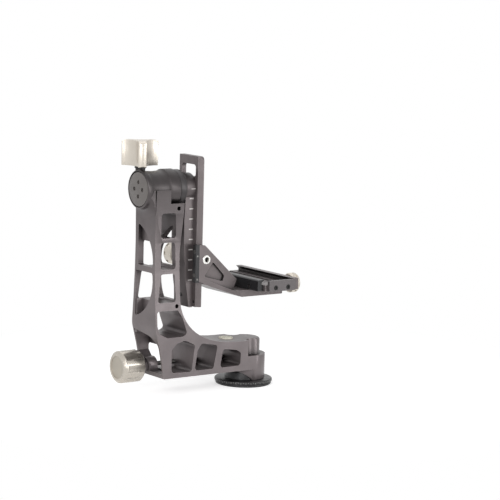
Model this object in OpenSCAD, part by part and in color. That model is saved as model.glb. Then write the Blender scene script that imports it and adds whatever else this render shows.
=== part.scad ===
// Gimbal tripod head, millimetres, +Z up.
// Origin: centre of the pan base's underside, on the pan axis.
// The tilt axis runs along X, the column stands at -X and the lens points to -Y.

/* [Pan base] */
// Diameter of the base flange
flange_d = 58; // [52:1:66]
// Height of the base flange
flange_h = 6.2; // [5:0.1:8]
// Diameter of the neck that turns inside the arm's lip
neck_d = 37.8; // [35:0.1:39.6]
// Height of the neck above the flange
neck_h = 7.4; // [7:0.1:7.8]
// Minor diameter of the 3/8 inch tripod thread
tripod_thread_d = 7.94; // [6:0.01:8.5]
// Depth of the tripod thread
tripod_thread_depth = 8.4; // [6:0.1:8.6]
// Radius of the circle of the foot screws
foot_screw_circle = 9.4; // [8.4:0.1:10]

/* [Main arm] */
// Distance from the pan axis to the column's outer face
arm_reach = 120.5; // [114:0.5:130]
// Height of the arm's flat underside
arm_floor = 17.3; // [16.8:0.1:18]
// Height of the flat top over the pan axis
arm_top = 47; // [45:0.5:50]
// Half of the arm's depth at its foot
foot_half = 21.2; // [21:0.1:24]
// Half of the arm's depth at the column's waist
waist_half = 17.4; // [16:0.1:18.5]
// Width of the column, outer face to inner face
column_w = 28.5; // [26:0.5:32]
// Thickness of the column's outer wall
outer_wall = 6.4; // [5:0.1:8]
// Thickness of the column's inner wall
inner_wall = 5.2; // [4:0.1:7]
// Thickness of the ribs between the column windows
rib = 4.2; // [3:0.1:6]
// Thickness of the floor under the beam windows
beam_floor = 5; // [4:0.1:6.5]
// Corner radius of the windows
window_r = 3; // [2:0.1:4]
// Height of the ledge round the end boss
ledge_z = 31; // [30.5:0.1:32]
// Radius of the end boss above the ledge
boss_r = 15.6; // [14.8:0.1:17]
// Radius of the scallops beside the end boss
scallop_r = 8.5; // [7:0.1:8.6]
// Thread core diameter of the two accessory holes
accessory_d = 4.2; // [3:0.1:5]

/* [Tilt hub] */
// Height of the tilt axis
tilt_z = 201.3; // [196:0.5:212]
// Radius of the hub
hub_r = 18.8; // [18.2:0.1:20]
// Radius of the round cap
cap_r = 17.2; // [15:0.1:17.4]
// Thickness of the round cap
cap_t = 2.4; // [2:0.1:2.6]
// How far the hub stands out from the column's outer face
hub_reach = 9.3; // [8.5:0.1:11]
// Radius of the tilt shaft
tilt_shaft_r = 6; // [5:0.1:6.4]
// Radius of the turning flange beside the hub
tilt_flange_r = 17.8; // [16:0.1:18]
// Thickness of the turning flange
tilt_flange_t = 7.4; // [6:0.1:8]
// Radius of the swing arm's hub
swing_hub_r = 14; // [12:0.1:15]

/* [Lock knobs] */
// Distance of both lock screws from the axis that they clamp
lock_offset = 11; // [10.4:0.1:11.4]
// Height of the pan lock screw
pan_lock_z = 26.8; // [26.6:0.1:27]
// Diameter of the pan lock knob
pan_knob_d = 31.6; // [26:0.1:34]
// Length of the pan lock knob
pan_knob_l = 24.4; // [18:0.1:28]
// Flutes on the pan lock knob
pan_knob_flutes = 8; // [6:1:10]
// Lobe radius of the tilt lock knob
tilt_knob_r = 19.6; // [16:0.1:21]
// Height of the tilt lock knob
tilt_knob_h = 24.8; // [18:0.1:26]
// Radius of the lock screws
lock_screw_r = 2.2; // [1.8:0.05:2.4]

/* [Swing arm and rail] */
// Length of the swing arm's hub, flange to rail
swing_hub_l = 12.5; // [11.5:0.1:14]
// Thickness of the dovetail rail
rail_t = 5.2; // [5:0.1:6]
// Width of the dovetail rail
rail_w = 38; // [36:0.1:39]
// Depth of the dovetail's slopes
dovetail = 3; // [2.5:0.1:3.2]
// Bottom of the rail
rail_z0 = 84.7; // [82:0.5:95]
// Top of the rail above the tilt axis
rail_rise = 31; // [28:0.5:40]
// Width of the swing arm
swing_w = 22; // [18:0.5:26]
// Width of the finger slot in the rail's top
slot_w = 24; // [18:0.5:28]

/* [Cradle] */
// Height of the rail clamp screw
clamp_screw_z = 131.6; // [126:0.1:135]
// Length of the rail clamp along the rail
rail_clamp_l = 37; // [32:0.5:40]
// Distance of the gusset's rear face from the rail's middle
gusset_rear = 15; // [13:0.5:16]
// Height of the platform's top
platform_z = 100; // [98.5:0.1:100.5]
// Thickness of the platform
platform_t = 6.4; // [5.5:0.1:8]
// Width of the platform
platform_w = 60; // [50:1:70]
// Right edge of the platform, measured from the pan axis
platform_x1 = 24.5; // [22:0.5:26]
// Diameter of the rail clamp knob
rail_knob_d = 24; // [18:0.5:28]

/* [Lens clamp] */
// Middle of the lens clamp's groove, measured from the pan axis
lens_x = 6; // [4:0.5:7]
// Length of the lens clamp
lens_clamp_l = 96; // [80:1:110]
// Width of the plate that the groove takes
plate_w = 38; // [37:0.1:39]
// Depth of the groove
groove_h = 5; // [4.5:0.1:6]
// Thickness of the clamp's base under the groove
clamp_base_t = 6.4; // [6:0.1:8]
// Thickness of the clamp's jaws beside the groove
jaw_wall = 4.5; // [4:0.1:6]
// Diameter of the lens clamp knob
lens_knob_d = 19.4; // [16:0.1:20.4]
// Length of the lens clamp knob
lens_knob_l = 9; // [7:0.1:14]
// Distance of the lens clamp knob from the clamp's front end
lens_knob_inset = 18; // [14:1:24]

/* [Hidden] */
$fn = 64;

// Clearances
run_gap = 0.04;      // between a shaft and the bore that it turns in
seat_gap = 0.02;     // between a piece and the seat that it is pushed into
body_gap = 0.3;      // between bodies that move past each other
slide_gap = 0.15;    // between a dovetail and the jaws that slide on it

// Finishes as the eye reads them
dark_anodised = "#4b4648";
black_anodised = "#1d1d20";
bright_steel = "#c9c7c2";
silver_knob = "#bdb5a8";
brass_colour = "#b8963e";

// Pan stack, from the base upwards
neck_top = flange_h + neck_h;
neck_r = neck_d / 2;
lip_r = neck_r + body_gap;
lip_z = flange_h + body_gap;
foot_t = 4;
foot_r = 13;
foot_z = neck_top - foot_t - 0.2;
spindle_r = 6;
spindle_drum_r = 6.6;
spindle_tip_r = 5;
ring_t = 3;
ring_z = arm_floor - ring_t;
ring_r = 16.5;
bearing_t = 5;
bearing_r = 10.5;
bearing_z = arm_floor;
drum_z0 = bearing_z + bearing_t + run_gap;
drum_z1 = ledge_z + 0.4;
bush_z0 = drum_z1 + 2.4;
bush_z1 = arm_top - 3;
spindle_top = bush_z1 - 0.4;
foot_screw_r = 2;
foot_screw_head_r = 3.5;
foot_screw_head_h = 4;

// Column and beam outline
face_x = -arm_reach;
inner_x = face_x + column_w;
corner_z = 98;
sweep_x = -20;
sweep_power = 2.3;
toe_x = face_x + 10;
web_x = 11.6;
arch_r = 35.2;
arch_x = -29;

// Hub along the tilt axis, from the cap inwards
hub_x0 = face_x - hub_reach;
band_x0 = face_x + 16.5;
band_x1 = inner_x;
cap_x0 = hub_x0 - 0.2;
cap_x1 = cap_x0 + cap_t;
pin_hole_r = 1.35;
pin_hole_circle = 5;
nut_room_r = 10.5;
nut_room_t = 2.8;
collar_x0 = cap_x1 + nut_room_t;
tilt_bearing_t = 6;
tilt_bearing_r = 12;
outer_bearing_x = face_x + 3.5;
inner_bearing_x = band_x1 - tilt_bearing_t - 0.8;
flange_x0 = band_x1 + body_gap;
flange_x1 = flange_x0 + tilt_flange_t;

// Lock screws
pan_knob_x = arm_reach - 1.3;
pan_lock_y = lock_offset;
pan_screw_x1 = 13;
barrel_nut_r = 3.6;
barrel_nut_l = 11.5;
pan_nut_x = 9.4;
tilt_lock_x = face_x - 0.3;
tilt_knob_z = tilt_z + 21.4;
tilt_nut_z = tilt_z - 10.8;
tilt_knob_turn = 3;
lock_hole_r = lock_screw_r + 0.3;
lock_boss_r = 8;
kerf = 1.6;

// Spirit level
level_x = -22;
level_y = 1;
level_r = 7.25;
level_depth = 5;

// Rail
rail_back = flange_x1 + swing_hub_l;
rail_face = rail_back + rail_t;
rail_z1 = tilt_z + rail_rise;
rail_narrow = rail_w / 2 - dovetail;
slope_x0 = rail_back + 1;
slope_x1 = slope_x0 + dovetail;

// Rail clamp and cradle
keeper_t = 4.6;
keeper_x1 = rail_back + 0.4;
keeper_x0 = keeper_x1 - keeper_t;
jaw_x0 = rail_back - 1.4;
gusset_x0 = rail_face + slide_gap;
clamp_half = rail_w / 2 + 2.4;
hook_y = rail_narrow + slide_gap * 1.4;
flank_y = rail_w / 2 + slide_gap;
rail_clamp_z1 = clamp_screw_z + rail_clamp_l * 0.41;
rail_clamp_z0 = rail_clamp_z1 - rail_clamp_l;
clamp_screw_x = rail_face + 3.6;
clamp_screw_r = 2.5;
bush_t = 1.6;
bush_r = 4.5;
jaw_x1 = clamp_screw_x + 9;
guide_x = clamp_screw_x + 5.2;
rail_knob_l = 15;

// Lens clamp
groove_z = platform_z + clamp_base_t;
clamp_top = groove_z + groove_h;
groove_half = plate_w / 2 + 0.1;
clamp_right = lens_x + groove_half + jaw_wall;
clamp_left = lens_x - groove_half;
lens_front = -lens_clamp_l / 2;
lens_back = lens_clamp_l / 2;
lens_knob_y = lens_front + lens_knob_inset;
end_plate_t = 3.2;
end_plate_y = lens_front - end_plate_t;
lens_screw_z = platform_z + 3.6;
lens_screw_r = 2;
lens_guide_r = 2;

// ---------- helpers ----------

function unit(v) = v / norm(v);

// Arc of n steps that rounds corner b between a and c with radius r
function corner_arc(a, b, c, r, n) =
    let (u = unit(a - b), v = unit(c - b), half = acos(max(-1, min(1, u * v))) / 2)
    let (d = r / tan(half), m = b + unit(u + v) * r / sin(half))
    let (p = b + u * d - m, q = b + v * d - m, a0 = atan2(p.y, p.x))
    let (turn = atan2(p.x * q.y - p.y * q.x, p * q))
    [for (k = [0:n]) m + r * [cos(a0 + turn * k / n), sin(a0 + turn * k / n)]];

// Outline through points [x, y, corner radius]; radius 0 keeps the corner
function rounded(pts, n = 5) =
    let (m = len(pts))
    [for (i = [0:m - 1])
        let (a = pts[(i + m - 1) % m], b = pts[i], c = pts[(i + 1) % m])
        each b[2] == 0 ? [[b.x, b.y]]
            : corner_arc([a.x, a.y], [b.x, b.y], [c.x, c.y], b[2], n)];

function with_r(pts, r) = [for (p = pts) [p.x, p.y, r]];

// Circular arc about [x, y] from angle a0 to a1
function arc(x, y, r, a0, a1, n = 12) =
    [for (k = [0:n]) [x + r * cos(a0 + (a1 - a0) * k / n), y + r * sin(a0 + (a1 - a0) * k / n)]];

module along_y(pts, y0, y1) {
    translate([0, y1, 0]) rotate([90, 0, 0]) linear_extrude(y1 - y0) polygon(pts);
}

module along_x(pts, x0, x1) {
    translate([x0, 0, 0]) rotate([90, 0, 90]) linear_extrude(x1 - x0) polygon(pts);
}

module along_z(pts, z0, z1) {
    translate([0, 0, z0]) linear_extrude(z1 - z0) polygon(pts);
}

module rod_x(r, x0, x1, y, z) {
    translate([x0, y, z]) rotate([0, 90, 0]) cylinder(r = r, h = x1 - x0);
}

module rod_y(r, y0, y1, x, z) {
    translate([x, y0, z]) rotate([-90, 0, 0]) cylinder(r = r, h = y1 - y0);
}

module rod_z(r, z0, z1, x = 0, y = 0) {
    translate([x, y, z0]) cylinder(r = r, h = z1 - z0);
}

module box(x0, x1, y0, y1, z0, z1) {
    translate([x0, y0, z0]) cube([x1 - x0, y1 - y0, z1 - z0]);
}

// Turned shape about an axis along X; points are [x, radius]
module turned_x(pts, y, z) {
    translate([0, y, z]) rotate([0, 90, 0]) rotate_extrude() polygon([for (p = pts) [p[1], p[0]]]);
}

// Turned shape about an axis along Y; points are [y, radius]
module turned_y(pts, x, z) {
    translate([x, 0, z]) rotate([-90, 0, 0]) rotate_extrude() polygon([for (p = pts) [p[1], p[0]]]);
}

module turned_z(pts, x = 0, y = 0) {
    translate([x, y, 0]) rotate_extrude() polygon([for (p = pts) [p[1], p[0]]]);
}

// Ball bearing on the Z axis: two races, balls between them
module ball_bearing(bore_r, outer_r, t, balls = 9) {
    mid = (bore_r + outer_r) / 2;
    ball_r = (outer_r - bore_r) * 0.25;
    race = (outer_r - bore_r) * 0.27;
    difference() {
        rotate_extrude() translate([bore_r, 0]) square([race, t]);
        translate([0, 0, t / 2]) rotate_extrude() translate([mid, 0]) circle(r = ball_r + 0.05);
    }
    difference() {
        rotate_extrude() translate([outer_r - race, 0]) square([race, t]);
        translate([0, 0, t / 2]) rotate_extrude() translate([mid, 0]) circle(r = ball_r + 0.05);
    }
    for (k = [0:balls - 1])
        rotate([0, 0, k * 360 / balls]) translate([mid, 0, t / 2]) sphere(r = ball_r);
}

// Cap screw on the Z axis, head up, its head's underside at z = 0
module cap_screw(r, l, head_r, head_h) {
    difference() {
        union() {
            translate([0, 0, -l]) cylinder(r = r, h = l);
            cylinder(r = head_r, h = head_h);
        }
        translate([0, 0, head_h * 0.45]) cylinder(r = head_r * 0.55, h = head_h, $fn = 6);
    }
}

// ---------- pan base ----------

module base_flange() {
    rim = flange_d / 2;
    color(black_anodised)
    difference() {
        turned_z([[0, 0], [0, rim - 1.6], [0.6, rim - 1], [2.2, rim - 1], [2.2, rim - 1.8],
            [2.9, rim - 1.8], [2.9, rim - 0.3], [3.2, rim], [flange_h - 1, rim],
            [flange_h - 0.3, rim - 0.7], [flange_h, neck_r + 0.3], [lip_z, neck_r],
            [neck_top, neck_r], [neck_top, 0]]);
        rod_z(tripod_thread_d / 2, -1, tripod_thread_depth);
        rod_z(foot_r + seat_gap, foot_z, neck_top + 1);
        for (k = [0:2]) rotate([0, 0, 60 + k * 120]) {
            rod_z(foot_screw_r + 0.2, -1, neck_top, foot_screw_circle);
            rod_z(foot_screw_head_r + 0.2, -1, foot_screw_head_h + 0.6, foot_screw_circle);
        }
    }
}

module pan_spindle() {
    color(bright_steel)
    difference() {
        turned_z([[foot_z, 0], [foot_z, foot_r], [foot_z + foot_t, foot_r],
            [foot_z + foot_t, spindle_r], [drum_z0, spindle_r], [drum_z0, spindle_drum_r],
            [drum_z1, spindle_drum_r], [drum_z1 + 0.8, spindle_tip_r],
            [spindle_top - 0.6, spindle_tip_r], [spindle_top, spindle_tip_r - 0.6],
            [spindle_top, 0]]);
        for (k = [0:2]) rotate([0, 0, 60 + k * 120])
            rod_z(foot_screw_r + seat_gap, foot_z - 1, foot_z + foot_t + 1, foot_screw_circle);
    }
}

module foot_screws() {
    color(black_anodised)
    for (k = [0:2]) rotate([0, 0, 60 + k * 120]) translate([foot_screw_circle, 0, foot_screw_head_h + 0.6])
        rotate([180, 0, 0])
        cap_screw(foot_screw_r, foot_z + foot_t - foot_screw_head_h - 0.8, foot_screw_head_r, foot_screw_head_h);
}

module pan_spacer() {
    color(bright_steel)
    difference() {
        rod_z(spindle_r + 1.6, foot_z + foot_t, bearing_z - run_gap);
        rod_z(spindle_r + run_gap, 0, bearing_z + 1);
    }
}

// ---------- main arm ----------

// Side view of the column's inner face running down into the beam's top
function inner_sweep(n = 16) =
    [for (k = [0:n]) let (t = 90 * k / n)
        [sweep_x - (sweep_x - inner_x) * pow(cos(t), 2 / sweep_power),
         corner_z - (corner_z - arm_top) * pow(sin(t), 2 / sweep_power)]];

module arm_front_view() {
    pts = concat(
        rounded([[0, arm_floor, 0], [toe_x, arm_floor, 1.2],
            [toe_x - 1.8, arm_floor + 14.5, 30], [toe_x - 4.7, arm_floor + 28.7, 30],
            [face_x, arm_floor + 50, 26], [face_x, tilt_z, 0], [inner_x + 4, tilt_z, 0],
            [inner_x + 3.6, tilt_z - 22, 60], [inner_x - 0.5, tilt_z - 62, 60],
            [inner_x, corner_z + 0.1, 0]]),
        inner_sweep(), [[0, arm_top]]);
    polygon(pts);
}

// Half depth of the arm against height, seen along X
module arm_side_view() {
    side = [[foot_half, lip_z], [foot_half, 72], [waist_half + 2.1, 93], [waist_half + 0.5, 122],
        [waist_half, 150], [waist_half + 0.6, 178], [hub_r, tilt_z], [hub_r, tilt_z + hub_r]];
    polygon(concat(side, [for (i = [len(side) - 1:-1:0]) [-side[i].x, side[i].y]]));
}

// Three windows one above the other in the column, each a little lower than the one below
function column_window(i) =
    let (z0 = corner_z - 6, z1 = tilt_z - 22.3, share = [1, 0.945, 0.88])
    let (unit_h = (z1 - z0 - 2 * rib) / (share[0] + share[1] + share[2]))
    let (low = z0 + i * rib + unit_h * (i == 0 ? 0 : i == 1 ? share[0] : share[0] + share[1]))
    let (lean = i == 0 ? 3.6 : 0, x0 = face_x + outer_wall, x1 = inner_x - inner_wall)
    [[x0 - lean, low], [x1 + 0.6, low], [x1 - 0.4, low + unit_h * share[i]],
        [x0 + (i == 0 ? 0.4 : 0), low + unit_h * share[i]]];

// Window in the corner where column and beam meet
function corner_window() =
    [[face_x + 1.8, corner_z - 13.5], [inner_x - 2.6, corner_z - 14],
     [inner_x + 2.3, corner_z - 21], [inner_x + 8.4, arm_floor + 43],
     [inner_x + 3.2, arm_floor + 40.4], [face_x + 13.5, arm_floor + 40.2],
     [face_x + 4.4, arm_floor + 45], [face_x + 1.8, arm_floor + 53]];

// Three windows side by side in the beam, from the column to the pan axis
function beam_window(i) =
    let (z0 = arm_floor + beam_floor, far = inner_x + 17, mid = (inner_x - 26) / 2)
    i == 0 ? [[face_x + 19.2, z0 + 0.5], [far - 2.6, z0 - 0.4], [far + 0.9, arm_floor + 31],
              [inner_x + 5.8, arm_floor + 36.4], [face_x + 25, arm_floor + 34], [face_x + 18.7, arm_floor + 28]]
    : i == 1 ? [[mid - 15, z0 + 0.3], [mid + 7.4, z0 + 0.2], [mid + 12, arm_floor + 28.5],
                [mid - 7.2, arm_floor + 32], [mid - 12.2, arm_floor + 25]]
    : [[-44, z0 + 0.3], [-19.2, z0 + 0.6], [-18.6, arm_floor + 18.5], [-24.2, arm_floor + 21.6],
        [-40.4, arm_floor + 24]];

// Upper D shaped cut, seen along X; side is 1 or -1 and mirrors it
function d_upper(side) =
    let (r = 39, cy = 25.2, z0 = column_window(1)[0].y + 2.5, cz = z0 + 3.4)
    let (flat = 12.6, top = asin((cy - flat) / r))
    [for (p = concat([[flat, z0], [-flat, z0]], arc(cy, cz, r, 180, 90 + top, 10)))
        [side * p.x, p.y]];

// Lower D shaped cut, which hangs from the rib over the lowest column window
function d_lower(side) =
    let (r = 38, cy = 24.1, z1 = column_window(0)[2].y + 1.1, cz = z1 - 8)
    let (flat = 16, low = asin((cy - flat) / r))
    [for (p = concat([[flat, z1], [-12.4, z1]], arc(cy, cz, r, 172, 270 - low, 10)))
        [side * p.x, p.y]];

module hub_barrel() {
    turned_x([[hub_x0, 0], [hub_x0, hub_r - 0.6], [hub_x0 + 0.6, hub_r], [hub_x0 + 3.6, hub_r],
        [hub_x0 + 6.4, hub_r - 1.2], [face_x + 6, hub_r - 1.9], [band_x0 - 3, hub_r - 1.5],
        [band_x0, hub_r - 0.6], [band_x0 + 0.6, hub_r - 0.1], [band_x1 - 0.6, hub_r - 0.1],
        [band_x1, hub_r - 0.7], [band_x1, 0]], 0, tilt_z);
}

// Concave skirt that carries the hub's rim down into the column's outer face
module hub_skirt() {
    reach = hub_reach - 3;
    spread = 11;
    curve = [for (k = [0:8]) let (t = 90 * k / 8)
        [face_x - reach * (1 - sin(t)), hub_r + spread * (1 - cos(t))]];
    intersection() {
        turned_x(concat([[face_x - reach, 0]], curve, [[face_x + 2, hub_r + spread], [face_x + 2, 0]]), 0, tilt_z);
        box(face_x - reach, face_x + 2, -hub_r + 1.2, hub_r - 1.2, tilt_z - 40, tilt_z);
    }
}

module end_block() {
    rod_z(foot_half, lip_z, ledge_z);
    turned_z([[ledge_z - 1, 0], [ledge_z - 1, boss_r], [arm_top - 2, boss_r],
        [arm_top - 0.6, boss_r - 0.6], [arm_top, boss_r - 2], [arm_top, 0]]);
}

module scallops() {
    for (s = [-1, 1]) rod_z(scallop_r, ledge_z, arm_top + 1, -1.6, s * (foot_half - 1.3));
}

// Window in the column's foot, which leaves a boss round the pan lock screw
module lower_outer_window() {
    half = foot_half - 2;
    low = arm_floor + beam_floor - 0.4;
    pts = rounded([[half, low + 18.4, 0], [half, corner_z - 35.5, 1], [-8, corner_z - 39.5, 24],
        [-half, corner_z - 47, 6], [-half, low, 1.5], [2, low, 0]]);
    difference() {
        along_x(pts, face_x - 2, face_x + 20);
        rod_x(lock_boss_r, face_x - 4, face_x + 22, pan_lock_y, pan_lock_z);
        box(face_x - 4, face_x + 22, pan_lock_y - lock_boss_r, foot_half, 10, pan_lock_z);
    }
}

module main_arm() {
    color(dark_anodised)
    difference() {
        union() {
            difference() {
                union() {
                    intersection() {
                        translate([0, foot_half + 5, 0]) rotate([90, 0, 0])
                            linear_extrude(2 * foot_half + 10) arm_front_view();
                        translate([face_x - 5, 0, 0]) rotate([90, 0, 90])
                            linear_extrude(arm_reach + 5) arm_side_view();
                    }
                    end_block();
                    hub_skirt();
                }
                // Space between the band and the column's front and back faces
                difference() {
                    box(band_x0, band_x1 + 10, -30, 30, tilt_z - 13.4, tilt_z + 5);
                    rod_x(hub_r - 0.7, band_x0 - 1, band_x1 + 11, 0, tilt_z);
                }
                // Recess for the turning flange
                rod_x(tilt_flange_r + body_gap, band_x1, band_x1 + 20, 0, tilt_z);
            }
            hub_barrel();
            rod_z(lock_screw_r + 2.6, tilt_z + 8, tilt_knob_z - 2.4, tilt_lock_x, lock_offset);
            rod_x(lock_boss_r - 1.2, -pan_knob_x + 0.4, face_x + 20, pan_lock_y, pan_lock_z);
        }
        for (i = [0:2]) along_y(rounded(with_r(column_window(i), window_r)), -40, 40);
        difference() {
            along_y(rounded(with_r(corner_window(), window_r)), -40, 40);
            // Web that closes the back of the lower D shaped pocket
            box(face_x - 1, face_x + web_x, -5, 15, 50, 100);
        }
        for (i = [0:2]) along_y(rounded(with_r(beam_window(i), window_r)), -40, 40);
        intersection() {
            along_x(rounded(with_r(d_upper(1), 1.6), 3), face_x - 1, face_x + outer_wall + 1);
            union() {
                box(face_x - 1, face_x + 4, -30, 30, 100, 200);
                box(face_x - 1, face_x + 10, -30, 30, 100, column_window(1)[2].y);
            }
        }
        along_x(rounded(with_r(d_lower(1), 1.6), 3), face_x - 1, face_x + outer_wall + 1);
        along_x(rounded(with_r(d_upper(-1), 1.6), 3), inner_x - inner_wall - 2, inner_x + 6);
        intersection() {
            along_x(rounded(with_r(d_lower(-1), 1.6), 3), inner_x - inner_wall - 2, inner_x + 6);
            box(inner_x - 10, inner_x + 8, -30, 30, column_window(0)[0].y + 1.5, 130);
        }
        lower_outer_window();
        scallops();
        rod_y(arch_r, -40, 40, arch_x, arm_floor - arch_r - 0.05);
        // Pan bores, from below
        rod_z(lip_r, 0, arm_floor);
        rod_z(bearing_r + seat_gap, 0, drum_z0);
        rod_z(spindle_drum_r + run_gap, 0, bush_z1);
        // Clamp kerf behind the pan spindle
        box(-kerf / 2, kerf / 2, spindle_drum_r - 1, foot_half + 2, drum_z0 + 0.4, ledge_z + 1.6);
        // Pan lock screw and its barrel nut
        rod_x(lock_hole_r, -pan_knob_x - 5, pan_screw_x1 + 0.5, pan_lock_y, pan_lock_z);
        rod_y(barrel_nut_r + seat_gap, 6.4, 40, pan_nut_x, pan_lock_z);
        // Tilt bores
        rod_x(cap_r + 0.18, hub_x0 - 1, cap_x1, 0, tilt_z);
        rod_x(nut_room_r, cap_x1 - 1, collar_x0, 0, tilt_z);
        rod_x(tilt_shaft_r + run_gap, collar_x0 - 1, band_x1 + 1, 0, tilt_z);
        rod_x(tilt_bearing_r + seat_gap, outer_bearing_x, outer_bearing_x + tilt_bearing_t, 0, tilt_z);
        rod_x(tilt_bearing_r - 2, outer_bearing_x + 1, inner_bearing_x + 1, 0, tilt_z);
        rod_x(tilt_bearing_r + seat_gap, inner_bearing_x, band_x1 + 1, 0, tilt_z);
        // Tilt clamp kerf, screw and barrel nut
        box(collar_x0 - 1, outer_bearing_x - 0.6, tilt_shaft_r - 1, hub_r + 5, tilt_z - kerf / 2, tilt_z + kerf / 2);
        rod_z(lock_hole_r, tilt_nut_z - 4.5, tilt_knob_z, tilt_lock_x, lock_offset);
        rod_y(barrel_nut_r + seat_gap, 6.2, 40, tilt_lock_x, tilt_nut_z);
        // Accessory threads in the front face
        rod_y(accessory_d / 2, -30, -foot_half + 12, inner_x - 2.4, tilt_z - 18.3);
        rod_y(accessory_d / 2, -30, -foot_half + 12, inner_x - 3.8, corner_z - 10);
        // Screws in the ledge
        for (s = [-1, 1]) {
            rod_z(1.6 + seat_gap, ledge_z - 10.5, ledge_z + 1, -0.8, s * (foot_half - 4.8));
            rod_z(2.9 + seat_gap, ledge_z - 2.7, ledge_z + 1, -0.8, s * (foot_half - 4.8));
        }
        // Level seat
        rod_z(level_r + seat_gap, arm_top - level_depth + 1, arm_top + 9, level_x, level_y);
    }
}

module pan_bearing() {
    color(bright_steel) translate([0, 0, bearing_z]) ball_bearing(spindle_r + run_gap, bearing_r, bearing_t);
}

module pan_bush() {
    color(brass_colour)
    difference() {
        rod_z(spindle_drum_r, bush_z0, bush_z1);
        rod_z(spindle_tip_r + run_gap, 0, bush_z1 + 1);
    }
}

module pan_retaining_ring() {
    color(black_anodised)
    difference() {
        rod_z(ring_r, ring_z, arm_floor);
        rod_z(bearing_r - 1.6, 0, arm_floor + 1);
        for (k = [0:3]) rotate([0, 0, 45 + k * 90]) rod_z(1.2, 0, ring_z + 1.6, (ring_r + bearing_r) / 2);
    }
}

module pan_lock_nut() {
    color(bright_steel)
    difference() {
        rod_y(barrel_nut_r, 6.5, 6.5 + barrel_nut_l, pan_nut_x, pan_lock_z);
        rod_x(lock_screw_r + run_gap, pan_nut_x - 5, pan_nut_x + 5, pan_lock_y, pan_lock_z);
    }
}

module ledge_screws() {
    color(black_anodised)
    for (s = [-1, 1]) translate([-0.8, s * (foot_half - 4.8), ledge_z - 2.7])
        cap_screw(1.6, 7.5, 2.9, 2.6);
}

module level_body() {
    z0 = arm_top - level_depth + 1;
    color(bright_steel)
    difference() {
        rod_z(level_r, z0, z0 + level_depth, level_x, level_y);
        rod_z(level_r - 1.1, z0 + 1.2, z0 + level_depth + 1, level_x, level_y);
    }
}

module level_vial() {
    z0 = arm_top - level_depth + 1;
    color("#e6e3b4")
    turned_z([[z0 + 1.2, 0], [z0 + 1.2, level_r - 1.1], [z0 + level_depth - 0.5, level_r - 1.1],
        [z0 + level_depth - 0.1, level_r - 2], [z0 + level_depth, 0]], level_x, level_y);
}

// ---------- tilt hub ----------

module tilt_cap() {
    color("#8b8681")
    difference() {
        turned_x([[cap_x0, 0], [cap_x0, cap_r - 0.5], [cap_x0 + 0.5, cap_r], [cap_x1, cap_r], [cap_x1, 0]],
            0, tilt_z);
        for (k = [0:3]) rod_x(pin_hole_r, cap_x0 - 1, cap_x1 - 0.6,
            pin_hole_circle * cos(k * 90), tilt_z + pin_hole_circle * sin(k * 90));
    }
}

module tilt_bearing_at(x) {
    translate([x, 0, tilt_z]) rotate([0, 90, 0])
        ball_bearing(tilt_shaft_r + run_gap, tilt_bearing_r, tilt_bearing_t);
}

module tilt_bearing_outer() {
    color(bright_steel) tilt_bearing_at(outer_bearing_x);
}

module tilt_bearing_inner() {
    color(bright_steel) tilt_bearing_at(inner_bearing_x);
}

module tilt_lock_nut() {
    color(bright_steel)
    difference() {
        rod_y(barrel_nut_r, 6.3, 6.3 + barrel_nut_l, tilt_lock_x, tilt_nut_z);
        rod_z(lock_screw_r + run_gap, tilt_nut_z - 5, tilt_nut_z + 5, tilt_lock_x, lock_offset);
    }
}

module tilt_seal() {
    color("#151515")
    difference() {
        rod_x(tilt_bearing_r, inner_bearing_x + tilt_bearing_t, band_x1, 0, tilt_z);
        rod_x(tilt_shaft_r + 0.8, inner_bearing_x, band_x1 + 1, 0, tilt_z);
    }
}

// ---------- lock knobs ----------

module tilt_lock_washer() {
    color(black_anodised)
    difference() {
        rod_z(lock_screw_r + 3.4, tilt_knob_z - 2.2, tilt_knob_z, tilt_lock_x, lock_offset);
        rod_z(lock_screw_r + run_gap, tilt_knob_z - 5, tilt_knob_z + 1, tilt_lock_x, lock_offset);
    }
}

module tilt_lock_screw() {
    color(bright_steel)
    rod_z(lock_screw_r, tilt_nut_z - 4, tilt_knob_z + 12, tilt_lock_x, lock_offset);
}

// Three-lobed star: three round lobes joined by deep hollows
module star_outline() {
    lobe_r = 5.8;
    hollow_r = 20;
    reach = tilt_knob_r - lobe_r;
    step = 60;
    difference() {
        union() {
            circle(r = reach * 0.86);
            for (k = [0:2]) rotate([0, 0, k * 120]) translate([reach, 0]) circle(r = lobe_r);
            for (k = [0:2]) rotate([0, 0, k * 120]) translate([0, -lobe_r]) square([reach, 2 * lobe_r]);
        }
        for (k = [0:2]) rotate([0, 0, step + k * 120])
            translate([hollow_r + 7.2, 0]) circle(r = hollow_r);
    }
}

module tilt_lock_knob() {
    color(silver_knob)
    difference() {
        intersection() {
            translate([tilt_lock_x, lock_offset, tilt_knob_z]) rotate([0, 0, tilt_knob_turn])
                linear_extrude(tilt_knob_h) star_outline();
            turned_z([[tilt_knob_z, 0], [tilt_knob_z, tilt_knob_r - 1], [tilt_knob_z + 1, tilt_knob_r + 0.1],
                [tilt_knob_z + tilt_knob_h - 2.6, tilt_knob_r + 0.1],
                [tilt_knob_z + tilt_knob_h - 0.9, tilt_knob_r - 1.2],
                [tilt_knob_z + tilt_knob_h, tilt_knob_r - 4.4], [tilt_knob_z + tilt_knob_h, 0]],
                tilt_lock_x, lock_offset);
        }
        rod_z(lock_screw_r + seat_gap, tilt_knob_z - 1, tilt_knob_z + 12.1, tilt_lock_x, lock_offset);
    }
}

module pan_lock_screw() {
    color(bright_steel)
    rod_x(lock_screw_r, -pan_knob_x - 12, pan_screw_x1, pan_lock_y, pan_lock_z);
}

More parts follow.
